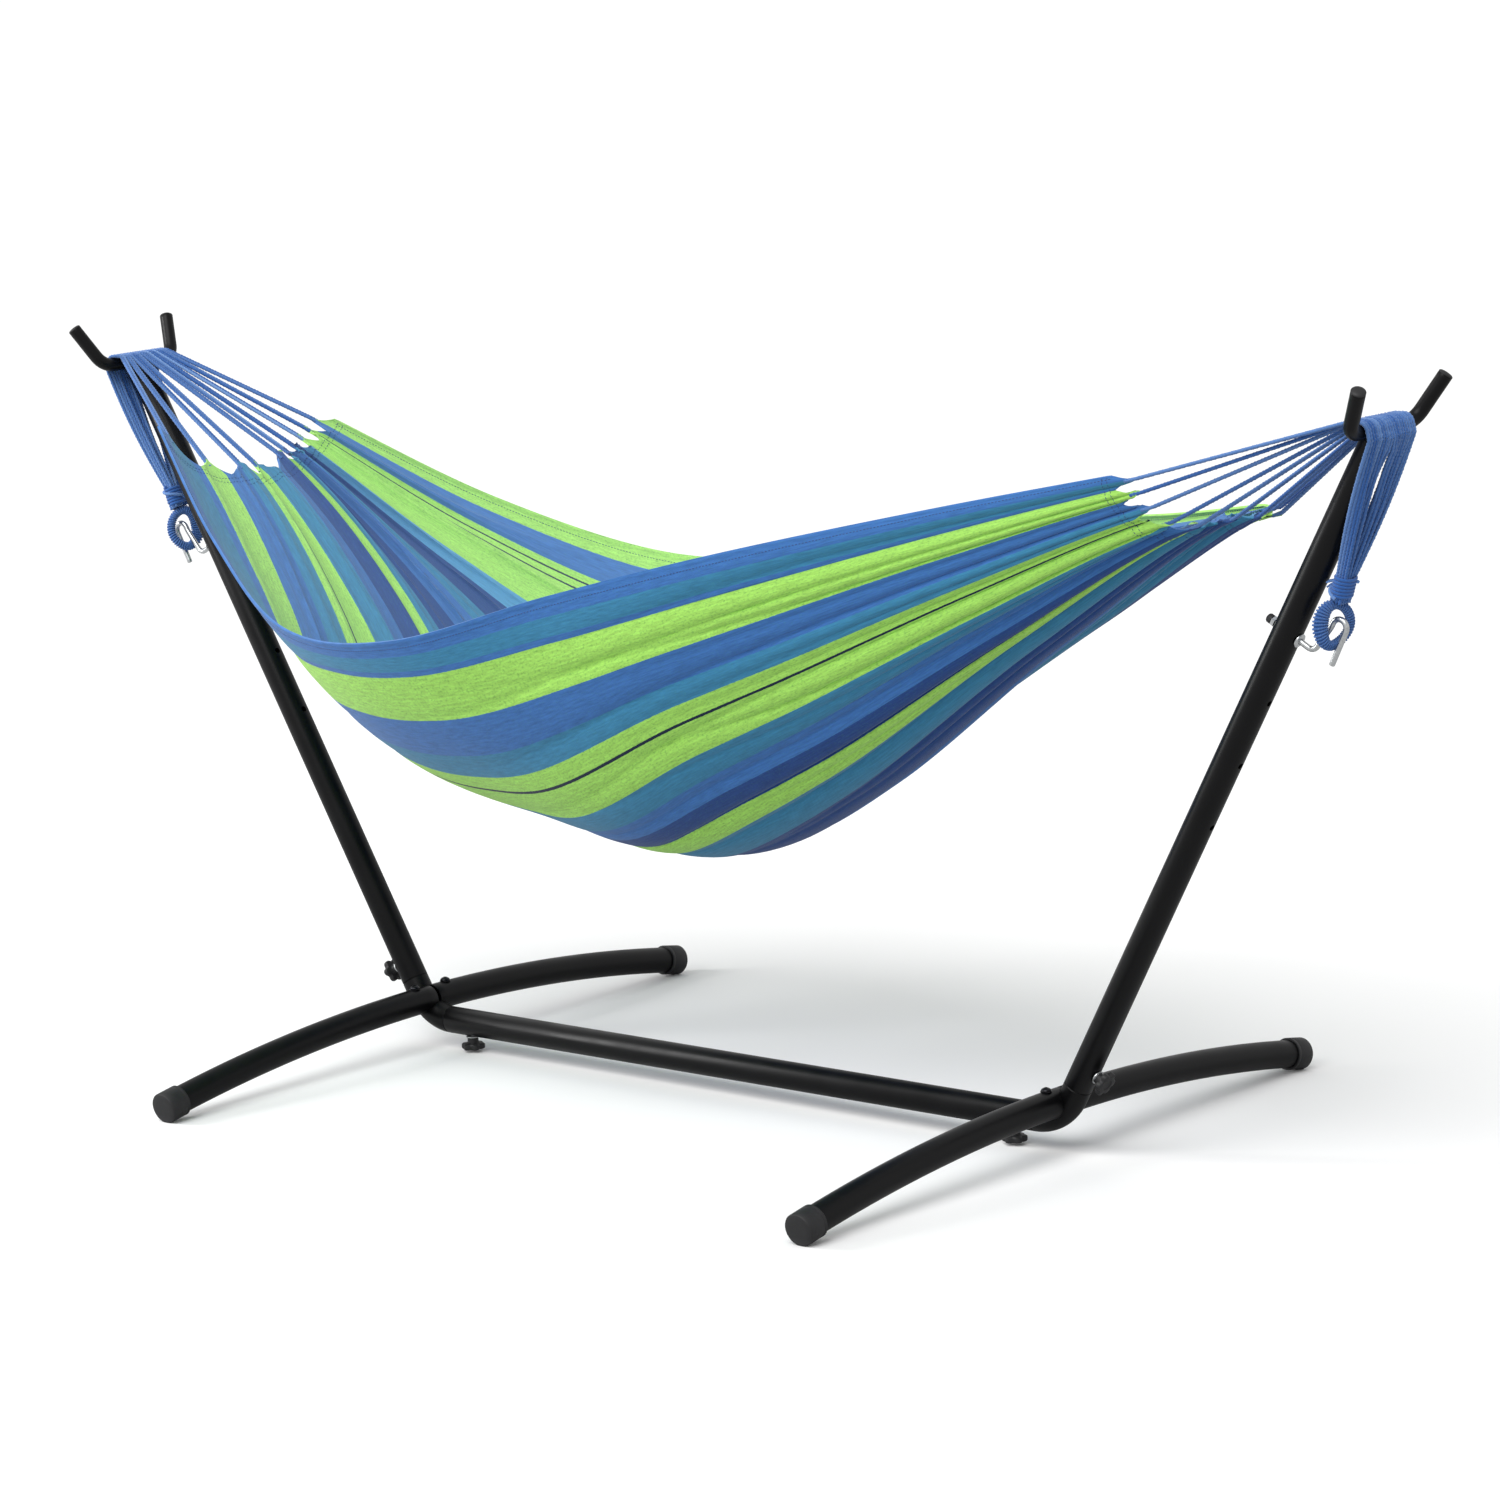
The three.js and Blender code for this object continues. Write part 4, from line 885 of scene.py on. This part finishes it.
# Cotton canvas: matt, faintly hairy, with yarns of slightly different shades side by side. The weft
# shows through the green warp as darker flecks. A yarn is 0.7 mm across, and is drawn at 2.8 mm to show.
CLOTH_WIDTH = 1.2  # for the scale of the weave
YARN = 2.8 * MM
GREEN, ROYAL, TEAL, STEEL, NAVY = "#ace869", "#3f74ba", "#3c86b0", "#5aa0cf", "#25498c"
STRIPES = (
    (0, ROYAL), (0.020, TEAL), (0.046, ROYAL), (0.052, GREEN), (0.104, ROYAL), (0.148, TEAL), (0.175, GREEN),
    (0.248, TEAL), (0.288, ROYAL), (0.320, NAVY), (0.354, GREEN), (0.390, TEAL), (0.442, NAVY), (0.52, ROYAL),
    (0.60, TEAL), (0.66, NAVY), (0.74, STEEL), (0.80, GREEN), (0.925, ROYAL), (0.97, GREEN),
)
THREADS = (0.0325, 0.0345, 0.119, 0.121, 0.1975, 0.2010, 0.2110, 0.2145, 0.2475, 0.250, 0.883, 0.887, 0.905, 0.908)


def band_ramp(tree, value, stops):
    """A colour ramp with hard edges, from (place, linear colour) stops."""
    ramp = add_node(tree, "ShaderNodeValToRGB", {"Fac": value})
    ramp.color_ramp.interpolation = "CONSTANT"
    marks = ramp.color_ramp.elements
    while len(marks) < len(stops):
        marks.new(1.0)
    for mark, (place, colour) in zip(marks, stops):
        mark.position = place
        mark.color = colour
    return ramp


canvas, tree = new_material("striped_cotton_canvas")
weave_place = add_node(tree, "ShaderNodeUVMap", uv_map="weave").outputs["UV"]
lengthways = add_node(tree, "ShaderNodeSeparateXYZ", {"Vector": weave_place})
along_m, across_m = lengthways.outputs["X"], maths(tree, "MULTIPLY", lengthways.outputs["Y"], CLOTH_WIDTH)
flat_place = add_node(tree, "ShaderNodeCombineXYZ", {"X": along_m, "Y": across_m}).outputs["Vector"]
wander = maths(tree, "MULTIPLY_ADD", noise(tree, flat_place, 1 / (6 * MM), 2.0), 0.0012, -0.0006)
stripe_place = maths(tree, "ADD", lengthways.outputs["Y"], wander)
stripe = band_ramp(tree, stripe_place, [(place, linear(colour)) for place, colour in STRIPES])
black, white = [0, 0, 0, 1], [1, 1, 1, 1]
thread_stops = [(0.0, black)] + [(place, white if i % 2 == 0 else black) for i, place in enumerate(THREADS)]
dark_thread = band_ramp(tree, stripe_place, thread_stops)
green_stops = [(0.0, black)]
for (place, colour), following in zip(STRIPES, [*STRIPES[1:], (1, None)]):
    if colour == GREEN:
        green_stops += [(place, white), (following[0], black)]
is_green = band_ramp(tree, stripe_place, green_stops[:-1])


def stretched(tree, place, along, across):
    """A place scaled so that a noise has patches of this length and breadth."""
    made = add_node(tree, "ShaderNodeMapping", {"Vector": place, "Scale": (1 / along, 1 / across, 1)})
    return made.outputs["Vector"]


streaks = noise(tree, stretched(tree, flat_place, 26 * MM, 3.2 * MM), 1.0, 4.0, 0.65)
flecks = noise(tree, stretched(tree, flat_place, 4.5 * MM, 3.0 * MM), 1.0, 3.0, 0.6)
fleck = ranged(tree, flecks, 0.0, 0.5, 0.50, 0.70)
fleck_share = maths(tree, "MULTIPLY", fleck, maths(tree, "MULTIPLY_ADD", is_green.outputs["Color"], 0.75, 0.25))
flecked = mixed(tree, fleck_share, stripe.outputs["Color"], "#4f9c4c")
shade = ranged(tree, streaks, 0.78, 1.18, 0.3, 0.7)
toned = add_node(tree, "ShaderNodeVectorMath", {0: flecked, "Scale": shade}, operation="SCALE")
lined = mixed(tree, dark_thread.outputs["Color"], toned.outputs["Vector"], "#12233f")
# Painted light: the inner face is mixed a tenth of the way to pale blue, as though light came through the cloth.
inner_face = add_node(tree, "ShaderNodeAttribute", attribute_name="inside", attribute_type="GEOMETRY")
painted_pale_inner_face = mixed(tree, maths(tree, "MULTIPLY", inner_face.outputs["Fac"], 0.10), lined, "#b9cfe6")
warp = maths(tree, "SINE", maths(tree, "MULTIPLY", across_m, 2 * math.pi / YARN))
weft = maths(tree, "SINE", maths(tree, "MULTIPLY", along_m, 2 * math.pi / YARN))
weave = maths(tree, "ADD", maths(tree, "MULTIPLY", warp, weft), maths(tree, "MULTIPLY", streaks, 1.5))
surface(tree, {
    "Base Color": painted_pale_inner_face, "Roughness": 0.88, "Normal": bumped(tree, weave, 0.45, 0.35 * MM), "Sheen Weight": 0.18,
    "Sheen Roughness": 0.45, "Specular IOR Level": 0.25,
})

cloth = mesh_piece("striped_cloth", points, faces, canvas, sharp=60)
weave_map = cloth.data.uv_layers.new(name="weave")
weave_u = np.concatenate([(long * SECTION * 1.12 * MM).ravel()] * 2)
weave_v = np.concatenate([np.broadcast_to((tab_middle + tab_half * in_tab)[:, None], long.shape).ravel()] * 2)
corner_vertex = np.empty(len(cloth.data.loops), int)
cloth.data.loops.foreach_get("vertex_index", corner_vertex)
weave_map.data.foreach_set("uv", np.stack([weave_u[corner_vertex], weave_v[corner_vertex]], axis=-1).ravel())
inside_face = cloth.data.attributes.new("inside", "FLOAT", "POINT")
inside_face.data.foreach_set("value", np.repeat([0.0, 1.0], row_count * column_count))
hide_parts("hammock_cloth")
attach(cloth, "hammock")

# ---- Stitching --------------------------------------------------------------------------------
# Lock stitches in polyester thread: one row holds each turned-in rim, and two rows cross each end
# behind the notches. A stitch is 3 mm long, and is drawn 5 mm long and thick enough to show.
STITCH = 5 * MM


def start_tree(name, sockets):
    """A Geometry Nodes tree with named inputs, which starts from a mesh of paths."""
    tree = bpy.data.node_groups.new(name, "GeometryNodeTree")
    tree.interface.new_socket(name="Paths", in_out="INPUT", socket_type="NodeSocketGeometry")
    for label, kind in sockets.items():
        tree.interface.new_socket(name=label, in_out="INPUT", socket_type=f"NodeSocket{kind}")
    tree.interface.new_socket(name="Made", in_out="OUTPUT", socket_type="NodeSocketGeometry")
    return tree, add_node(tree, "NodeGroupInput").outputs


def end_tree(tree, geometry, material):
    real = add_node(tree, "GeometryNodeRealizeInstances", {0: geometry})
    finished = add_node(tree, "GeometryNodeSetMaterial", {"Geometry": real.outputs[0], "Material": material})
    add_node(tree, "NodeGroupOutput", {0: finished.outputs[0]})


def grow(name, tree, paths, sockets, material, tints=None):
    """Makes a piece from paths, each a run of points in metres, by a Geometry Nodes tree."""
    points = [tuple(p) for path in paths for p in path]
    edges, start = [], 0
    for path in paths:
        edges += [(start + i, start + i + 1) for i in range(len(path) - 1)]
        start += len(path)
    mesh = bpy.data.meshes.new(name)
    mesh.from_pydata(points, edges, [])
    if tints is not None:
        tint = mesh.attributes.new("tint", "FLOAT", "POINT")
        tint.data.foreach_set("value", [value for value, path in zip(tints, paths) for _ in path])
    piece = new_object(name, mesh)
    grown = piece.modifiers.new("grown", "NODES")
    grown.node_group = tree
    wanted = {**sockets, "Material": material}
    for item in tree.interface.items_tree:
        if item.in_out == "INPUT" and item.name in wanted:
            grown[item.identifier] = wanted[item.name]
    bake(piece)
    face_outwards(piece.data)
    piece.data.shade_smooth()
    return piece


stitch_tree, given = start_tree("lock_stitches", {"Length": "Float", "Thickness": "Float", "Material": "Material"})
seams = add_node(stitch_tree, "GeometryNodeMeshToCurve", {0: given["Paths"]})
places = add_node(stitch_tree, "GeometryNodeCurveToPoints", {
    "Curve": seams.outputs[0], "Length": given["Length"],
}, mode="LENGTH")
bead_mesh = add_node(stitch_tree, "GeometryNodeMeshUVSphere", {"Segments": 6, "Rings": 4, "Radius": 0.5})
stitch_size = add_node(stitch_tree, "ShaderNodeCombineXYZ", {
    "X": given["Thickness"], "Y": given["Thickness"], "Z": maths(stitch_tree, "MULTIPLY", given["Length"], 0.74),
})
laid = add_node(stitch_tree, "GeometryNodeInstanceOnPoints", {
    "Points": places.outputs["Points"], "Instance": bead_mesh.outputs["Mesh"], "Rotation": places.outputs["Rotation"],
    "Scale": stitch_size.outputs["Vector"],
})
end_tree(stitch_tree, laid.outputs["Instances"], given["Material"])

sewing_thread, tree = new_material("polyester_sewing_thread")
place = add_node(tree, "ShaderNodeTexCoord").outputs["Object"]
surface(tree, {
    "Base Color": mixed(tree, noise(tree, place, 1 / (9 * MM), 3.0), "#16274a", "#33548f"), "Roughness": 0.55,
    "Normal": bumped(tree, noise(tree, place, 1 / (0.6 * MM), 1.0), 0.3, 0.1 * MM), "Sheen Weight": 0.1,
})

seam_paths = []
for row_place in (0.0115, 0.9885):
    row = int(np.argmin(np.abs(rows - row_place)))
    seam_paths += [outer[row, 3:-3], inner[row, 3:-3]]
for from_end in (36.0, 43.0):
    for wanted in (from_end / SECTION, 1 - from_end / SECTION):
        for layer in (outer, inner):
            seam_paths.append(np.array([
                [np.interp(wanted, long[row], layer[row, :, k]) for k in range(3)] for row in range(4, row_count - 4)
            ]))
stitches = grow("hem_stitches", stitch_tree, seam_paths, {"Length": STITCH, "Thickness": 1.1 * MM}, sewing_thread)
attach(stitches, "hammock")

# ---- Strings ----------------------------------------------------------------------------------
# Three-ply laid cotton string, doubled through each tab. All of it crosses the saddle of the hook as
# one flat band, and turns down behind it in two ribbons that are gathered into a whipping.
STRING_DIAMETER = 5.0 * MM
STRING_LAY = 15 * MM
STRINGS_PER_TAB = 2

string_tree, given = start_tree("laid_string", {
    "Diameter": "Float", "Lay": "Float", "Ply Depth": "Float", "Step": "Float", "Material": "Material",
})
string_path = add_node(string_tree, "GeometryNodeMeshToCurve", {0: given["Paths"]})
even = add_node(string_tree, "GeometryNodeResampleCurve", {
    "Curve": string_path.outputs[0], "Length": given["Step"],
}, mode="LENGTH")
run = add_node(string_tree, "GeometryNodeSplineParameter")
turns = maths(string_tree, "DIVIDE", run.outputs["Length"], given["Lay"])
twist = maths(string_tree, "MULTIPLY", turns, 2 * math.pi)
twisted = add_node(string_tree, "GeometryNodeSetCurveTilt", {"Curve": even.outputs[0], "Tilt": twist})
round_profile = add_node(string_tree, "GeometryNodeCurvePrimitiveCircle", {
    "Resolution": 9, "Radius": maths(string_tree, "MULTIPLY", given["Diameter"], 0.5),
})
profile_place = add_node(string_tree, "GeometryNodeInputPosition").outputs[0]
parts = add_node(string_tree, "ShaderNodeSeparateXYZ", {"Vector": profile_place}).outputs
bearing = maths(string_tree, "ARCTAN2", parts["Y"], parts["X"])
lobes = maths(string_tree, "COSINE", maths(string_tree, "MULTIPLY", bearing, 3.0))
shift = add_node(string_tree, "ShaderNodeVectorMath", {
    0: profile_place, "Scale": maths(string_tree, "MULTIPLY", lobes, given["Ply Depth"]),
}, operation="SCALE")
plied = add_node(string_tree, "GeometryNodeSetPosition", {
    "Geometry": round_profile.outputs["Curve"], "Offset": shift.outputs["Vector"],
})
swept = add_node(string_tree, "GeometryNodeCurveToMesh", {
    "Curve": twisted.outputs[0], "Profile Curve": plied.outputs[0], "Fill Caps": True,
})
end_tree(string_tree, swept.outputs[0], given["Material"])

# Soft-spun cotton: no gloss, a fuzzy edge, and every string dyed a little lighter or darker.
cotton_string, tree = new_material("laid_cotton_string_blue")
place = add_node(tree, "ShaderNodeTexCoord").outputs["Object"]
dyed = add_node(tree, "ShaderNodeAttribute", attribute_name="tint", attribute_type="GEOMETRY")
fibre = noise(tree, place, 1 / (2.2 * MM), 4.0, 0.7)
patch = maths(tree, "ADD", dyed.outputs["Fac"], maths(tree, "MULTIPLY_ADD", fibre, 0.7, -0.35))
surface(tree, {
    "Base Color": mixed(tree, patch, "#2f5fa6", "#86acdf"), "Roughness": 0.9,
    "Normal": bumped(tree, fibre, 0.5, 0.4 * MM), "Sheen Weight": 0.3, "Sheen Roughness": 0.5,
    "Specular IOR Level": 0.2,
})

BAR_WRAP = FORK_RADIUS + STRING_DIAMETER / 2 + 0.5 * MM
HEADER = (-16 * MM, 12.8 * MM)  # where the strings meet beside the saddle, from the saddle's axis
DROP_START = (15.5 * MM, -10 * MM)
COLLAR_SWELL = 4 * MM  # how far the middle strings stand out round the collar
BAND_WIDTH = 104 * MM
TWIN_GAP = 4 * MM  # between the two strings of a tab
WHIPPING_LENGTH = 36 * MM
saddle = on_upright(SADDLE)
gathered = saddle - 61 * MM * X - 190 * MM * Z  # where the whipping begins
bundle_axis = (on_upright(HOOK_BOLT_AT + 76 * MM, 51 * MM) - gathered).normalized()
tab_centres = (TAB_EDGES[:-1] + TAB_EDGES[1:]) / 2


def tab_start(end, centre):
    """The middle of a tab's tip, and a point a little inside it, as if for the right-hand end."""
    whole = np.array([0.0, 14.0 / SECTION]) if end == "left" else np.array([1.0, 1.0 - 14.0 / SECTION])
    row = int(np.argmin(np.abs(rows - centre)))
    tip_point, inside_point = (
        Vector([np.interp(value, long[row], shaped[row, :, k]) for k in range(3)]) * MM for value in whole
    )
    half_round = dict(ENDS)[end]
    return half_round @ inside_point, half_round @ tip_point


def string_route(end, string, strings):
    """One string, from inside its tab, over the saddle and down into the whipping."""
    order = tab_centres if end == "right" else tab_centres[::-1]
    tab_number, twin = divmod(string, STRINGS_PER_TAB)
    inside_tab, tab_tip = tab_start(end, order[tab_number])
    spread = (string + 0.5) * BAND_WIDTH / strings - BAND_WIDTH / 2
    beside = (twin - 0.5) * TWIN_GAP
    route = [inside_tab + beside * Y * 0.6, tab_tip + beside * Y]
    header = saddle + HEADER[0] * X + HEADER[1] * Z + spread * 0.96 * Y
    for i in range(1, 12):
        route.append(tab_tip.lerp(header, i / 12) + beside * (1 - i / 12) * Y)
    route.append(header)
    for i in range(9):
        angle = math.radians(98 - 12 * i)
        route.append(saddle + BAR_WRAP * (math.cos(angle) * X + math.sin(angle) * Z) + spread * Y)
    group, layer = divmod(string, 4)
    gathered_y = (group - 2) * 5.1 * MM
    gathered_n = (layer - 1.5) * 4.4 * MM
    first = saddle + DROP_START[0] * X + DROP_START[1] * Z
    parting = 4.5 * MM * (1 if string >= strings / 2 else -1)
    for i in range(13):
        f = i / 12
        point = first.lerp(gathered, f)
        point += (spread + (gathered_y - spread) * f + parting * math.sin(math.pi * f)) * Y
        point += gathered_n * (1 - (1 - f) ** 2.2) * OUTWARD
        swell = max(0.0, 1 - (spread / (20 * MM)) ** 2) * math.exp(-((f - 0.08) / 0.09) ** 2)
        point += COLLAR_SWELL * swell * OUTWARD
        route.append(point)
    for i in range(1, 5):
        route.append(gathered + bundle_axis * WHIPPING_LENGTH * i / 4 + gathered_y * Y + gathered_n * OUTWARD)
    return route


for end, turn in ENDS:
    count = STRINGS_PER_TAB * len(tab_centres)
    random = np.random.default_rng(11 if end == "left" else 23)
    tints = random.choice([0.05, 0.15, 0.25, 0.35, 0.5, 0.7], count, p=[0.2, 0.2, 0.25, 0.15, 0.12, 0.08])
    strings = grow(
        f"{end}_hanging_strings", string_tree, [string_route(end, k, count) for k in range(count)],
        {"Diameter": STRING_DIAMETER, "Lay": STRING_LAY, "Ply Depth": 0.16, "Step": 3 * MM}, cotton_string, tints,
    )
    strings.data.transform(turn)
    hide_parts(f"{end}_strings", f"{end}_string_band")
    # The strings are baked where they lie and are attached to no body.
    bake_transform(strings)

# ---- Whippings and eyes -----------------------------------------------------------------------
# The gathered strings are bound with turns of the same cord, and end in an eye that is served with
# finer cord all round. The eye hangs in the crook of the hook bolt.
WHIPPING_CORD = 4.6 * MM
WHIPPING_TURNS = 6

whipping_tree, given = start_tree("whipping", {
    "Turns": "Float", "Radius": "Float", "Height": "Float", "Cord": "Float", "Material": "Material",
})
coil = add_node(whipping_tree, "GeometryNodeCurveSpiral", {
    "Resolution": 28, "Rotations": given["Turns"], "Start Radius": given["Radius"], "End Radius": given["Radius"],
    "Height": given["Height"],
})
cord_profile = add_node(whipping_tree, "GeometryNodeCurvePrimitiveCircle", {
    "Resolution": 10, "Radius": maths(whipping_tree, "MULTIPLY", given["Cord"], 0.5),
})
coiled = add_node(whipping_tree, "GeometryNodeCurveToMesh", {
    "Curve": coil.outputs[0], "Profile Curve": cord_profile.outputs["Curve"], "Fill Caps": True,
})
end_tree(whipping_tree, coiled.outputs[0], given["Material"])

EYE_BOTTOM = on_upright(HOOK_BOLT_AT + 22 * MM, 65 * MM)
EYE_TOP = on_upright(HOOK_BOLT_AT + 76 * MM, 50 * MM)
EYE_SIDE = 22 * MM
CORE_SIDES = 14
SERVING_TURNS = 46
SERVING_SIDES = 16  # points in one turn of the serving


def eye_loop(count):
    """The eye's centre line, its sideways direction and its half sizes, from the top round."""
    centre, rise = (EYE_TOP + EYE_BOTTOM) / 2, (EYE_TOP - EYE_BOTTOM) / 2
    loop = []
    for i in range(count):
        angle = 2 * math.pi * i / count
        twist = math.radians(5 + 33 * (0.5 + 0.5 * math.cos(angle)) ** 0.7)
        side = math.cos(twist) * Y + math.sin(twist) * OUTWARD
        point = centre + rise * math.cos(angle) + EYE_SIDE * math.sin(angle) * side
        broad = max(0.0, -math.sin(angle)) ** 2
        loop.append((point, side, (5.6 + 5.4 * broad) * MM, 5.4 * MM))
    return loop


def round_eye(point, slope, bearing, wide, thick):
    """A point round the eye's cord, at a bearing from the side that faces away from its middle."""
    away = point - (EYE_TOP + EYE_BOTTOM) / 2
    away = (away - away.dot(slope) * slope).normalized()
    return point + wide * math.cos(bearing) * away + thick * math.sin(bearing) * slope.cross(away)


for end, turn in ENDS:
    coil_piece = grow(f"{end}_whipping_coil", whipping_tree, [[(0, 0, 0), (0, 0, 0.001)]], {
        "Turns": float(WHIPPING_TURNS), "Radius": 15 * MM, "Height": WHIPPING_TURNS * WHIPPING_CORD,
        "Cord": WHIPPING_CORD,
    }, cotton_string)
    flat_way = Y.cross(bundle_axis).normalized()
    frame_turn = Matrix((Y, flat_way * 0.82, bundle_axis)).transposed().to_4x4()
    coil_piece.data.transform(Matrix.Translation(gathered + 2 * MM * bundle_axis) @ frame_turn)
    loop = eye_loop(72)
    points, faces = [], []
    for i, (point, side, wide, thick) in enumerate(loop):
        before, after = loop[i - 1][0], loop[(i + 1) % len(loop)][0]
        slope = (after - before).normalized()
        here, onward = i * CORE_SIDES, (i + 1) % len(loop) * CORE_SIDES
        for k in range(CORE_SIDES):
            following = (k + 1) % CORE_SIDES
            points.append(round_eye(point, slope, 2 * math.pi * k / CORE_SIDES, 0.88 * wide, 0.88 * thick))
            faces.append((here + k, here + following, onward + following, onward + k))
    core = mesh_piece(f"{end}_eye_core", points, faces, cotton_string, sharp=80)
    serving = []
    steps = SERVING_TURNS * SERVING_SIDES
    for i in range(steps + 1):
        at = i / steps * len(loop)
        low, f = int(at) % len(loop), at - int(at)
        high = (low + 1) % len(loop)
        point = loop[low][0].lerp(loop[high][0], f)
        slope = (loop[high][0] - loop[low][0]).normalized()
        wide, thick = (loop[low][k] * (1 - f) + loop[high][k] * f for k in (2, 3))
        serving.append(round_eye(point, slope, 2 * math.pi * i / SERVING_SIDES, wide, thick))
    wound = grow(
        f"{end}_eye_serving", string_tree, [serving],
        {"Diameter": 2.6 * MM, "Lay": 9 * MM, "Ply Depth": 0.12, "Step": 1.8 * MM}, cotton_string, [0.2],
    )
    tails = []
    random = np.random.default_rng(5 if end == "left" else 9)
    for k in range(4):
        start = gathered + 14 * MM * bundle_axis - 9 * MM * OUTWARD + (k - 1.5) * 2.5 * MM * Y
        aim = -0.75 * OUTWARD + 0.5 * bundle_axis + float(random.uniform(-0.5, 0.1)) * Y
        aim += float(random.uniform(-0.3, 0.3)) * Z
        aim.normalize()
        tails.append([start + aim * 17 * MM * i / 6 + (i / 6) ** 2 * 4 * MM * -Z for i in range(7)])
    frayed = grow(
        f"{end}_whipping_tail", string_tree, tails,
        {"Diameter": 2.6 * MM, "Lay": 8 * MM, "Ply Depth": 0.14, "Step": 1.5 * MM}, cotton_string,
        [0.2, 0.5, 0.35, 0.1],
    )
    crossing = []
    for i in range(25):
        angle = math.radians(-60 + 250 * i / 24)
        drop = 6 * MM + 24 * MM * i / 24
        crossing.append(
            gathered + drop * bundle_axis + 17.5 * MM * math.cos(angle) * Y + 15.5 * MM * math.sin(angle) * flat_way
        )
    diagonal = grow(
        f"{end}_whipping_cross", string_tree, [crossing],
        {"Diameter": 4.6 * MM, "Lay": 13 * MM, "Ply Depth": 0.14, "Step": 2.5 * MM}, cotton_string, [0.45],
    )
    for pieces, name, node in (
        ((coil_piece, frayed, diagonal), f"{end}_whipping_turns", f"{end}_string_whipping"),
        ((core, wound), f"{end}_served_eye", f"{end}_string_eye"),
    ):
        made = join(name, pieces)
        made.data.shade_smooth()
        fit(made, turn, node)

# ---- Floor and light --------------------------------------------------------------------------
# A plain floor under a white surround, with one broad, soft sun from the front and a strip of light
# to the left, so that the black tubes carry long highlights. The floor and the surround are paler
# to the eye than the light that they throw back, which keeps the ground white and the shade deep.
FLOOR_HALF = 40.0
floor_mesh = bpy.data.meshes.new("floor")
floor_mesh.from_pydata(
    [(x * FLOOR_HALF, y * FLOOR_HALF, 0) for x, y in ((-1, -1), (1, -1), (1, 1), (-1, 1))], [], [(0, 1, 2, 3)],
)
floor = new_object("floor", floor_mesh)
floor_paper, tree = new_material("matt_white_floor")
seen = add_node(tree, "ShaderNodeLightPath")
white = mixed(tree, seen.outputs["Is Camera Ray"], "#bcbcbc", "#fbfbfb")
surface(tree, {"Base Color": white, "Roughness": 0.9, "Specular IOR Level": 0.1})
floor_mesh.materials.append(floor_paper)

world = bpy.data.worlds.new("white_surround")
world.use_nodes = True
sky = world.node_tree.nodes["Background"]
sky.inputs["Color"].default_value = (1, 1, 1, 1)
seen = add_node(world.node_tree, "ShaderNodeLightPath")
strength = ranged(world.node_tree, seen.outputs["Is Camera Ray"], 0.68, 1.0)
world.node_tree.links.new(strength, sky.inputs["Strength"])
bpy.context.scene.world = world
bpy.context.scene.view_settings.view_transform = "Standard"

sun_data = bpy.data.lights.new("sun", "SUN")
sun_data.energy = 1.75
sun_data.angle = math.radians(48)
sun = new_object("sun", sun_data)
sun.rotation_euler = Vector((-0.1, 0.62, -0.8)).to_track_quat("-Z", "Y").to_euler()

strip_data = bpy.data.lights.new("left_strip", "AREA")
strip_data.shape = "RECTANGLE"
strip_data.size, strip_data.size_y = 0.5, 2.6
strip_data.energy = 110
strip = new_object("left_strip", strip_data)
strip.location = (-4.0, -2.5, 2.2)
strip.rotation_euler = (Vector((-0.6, 0, 0.6)) - strip.location).to_track_quat("-Z", "Y").to_euler()
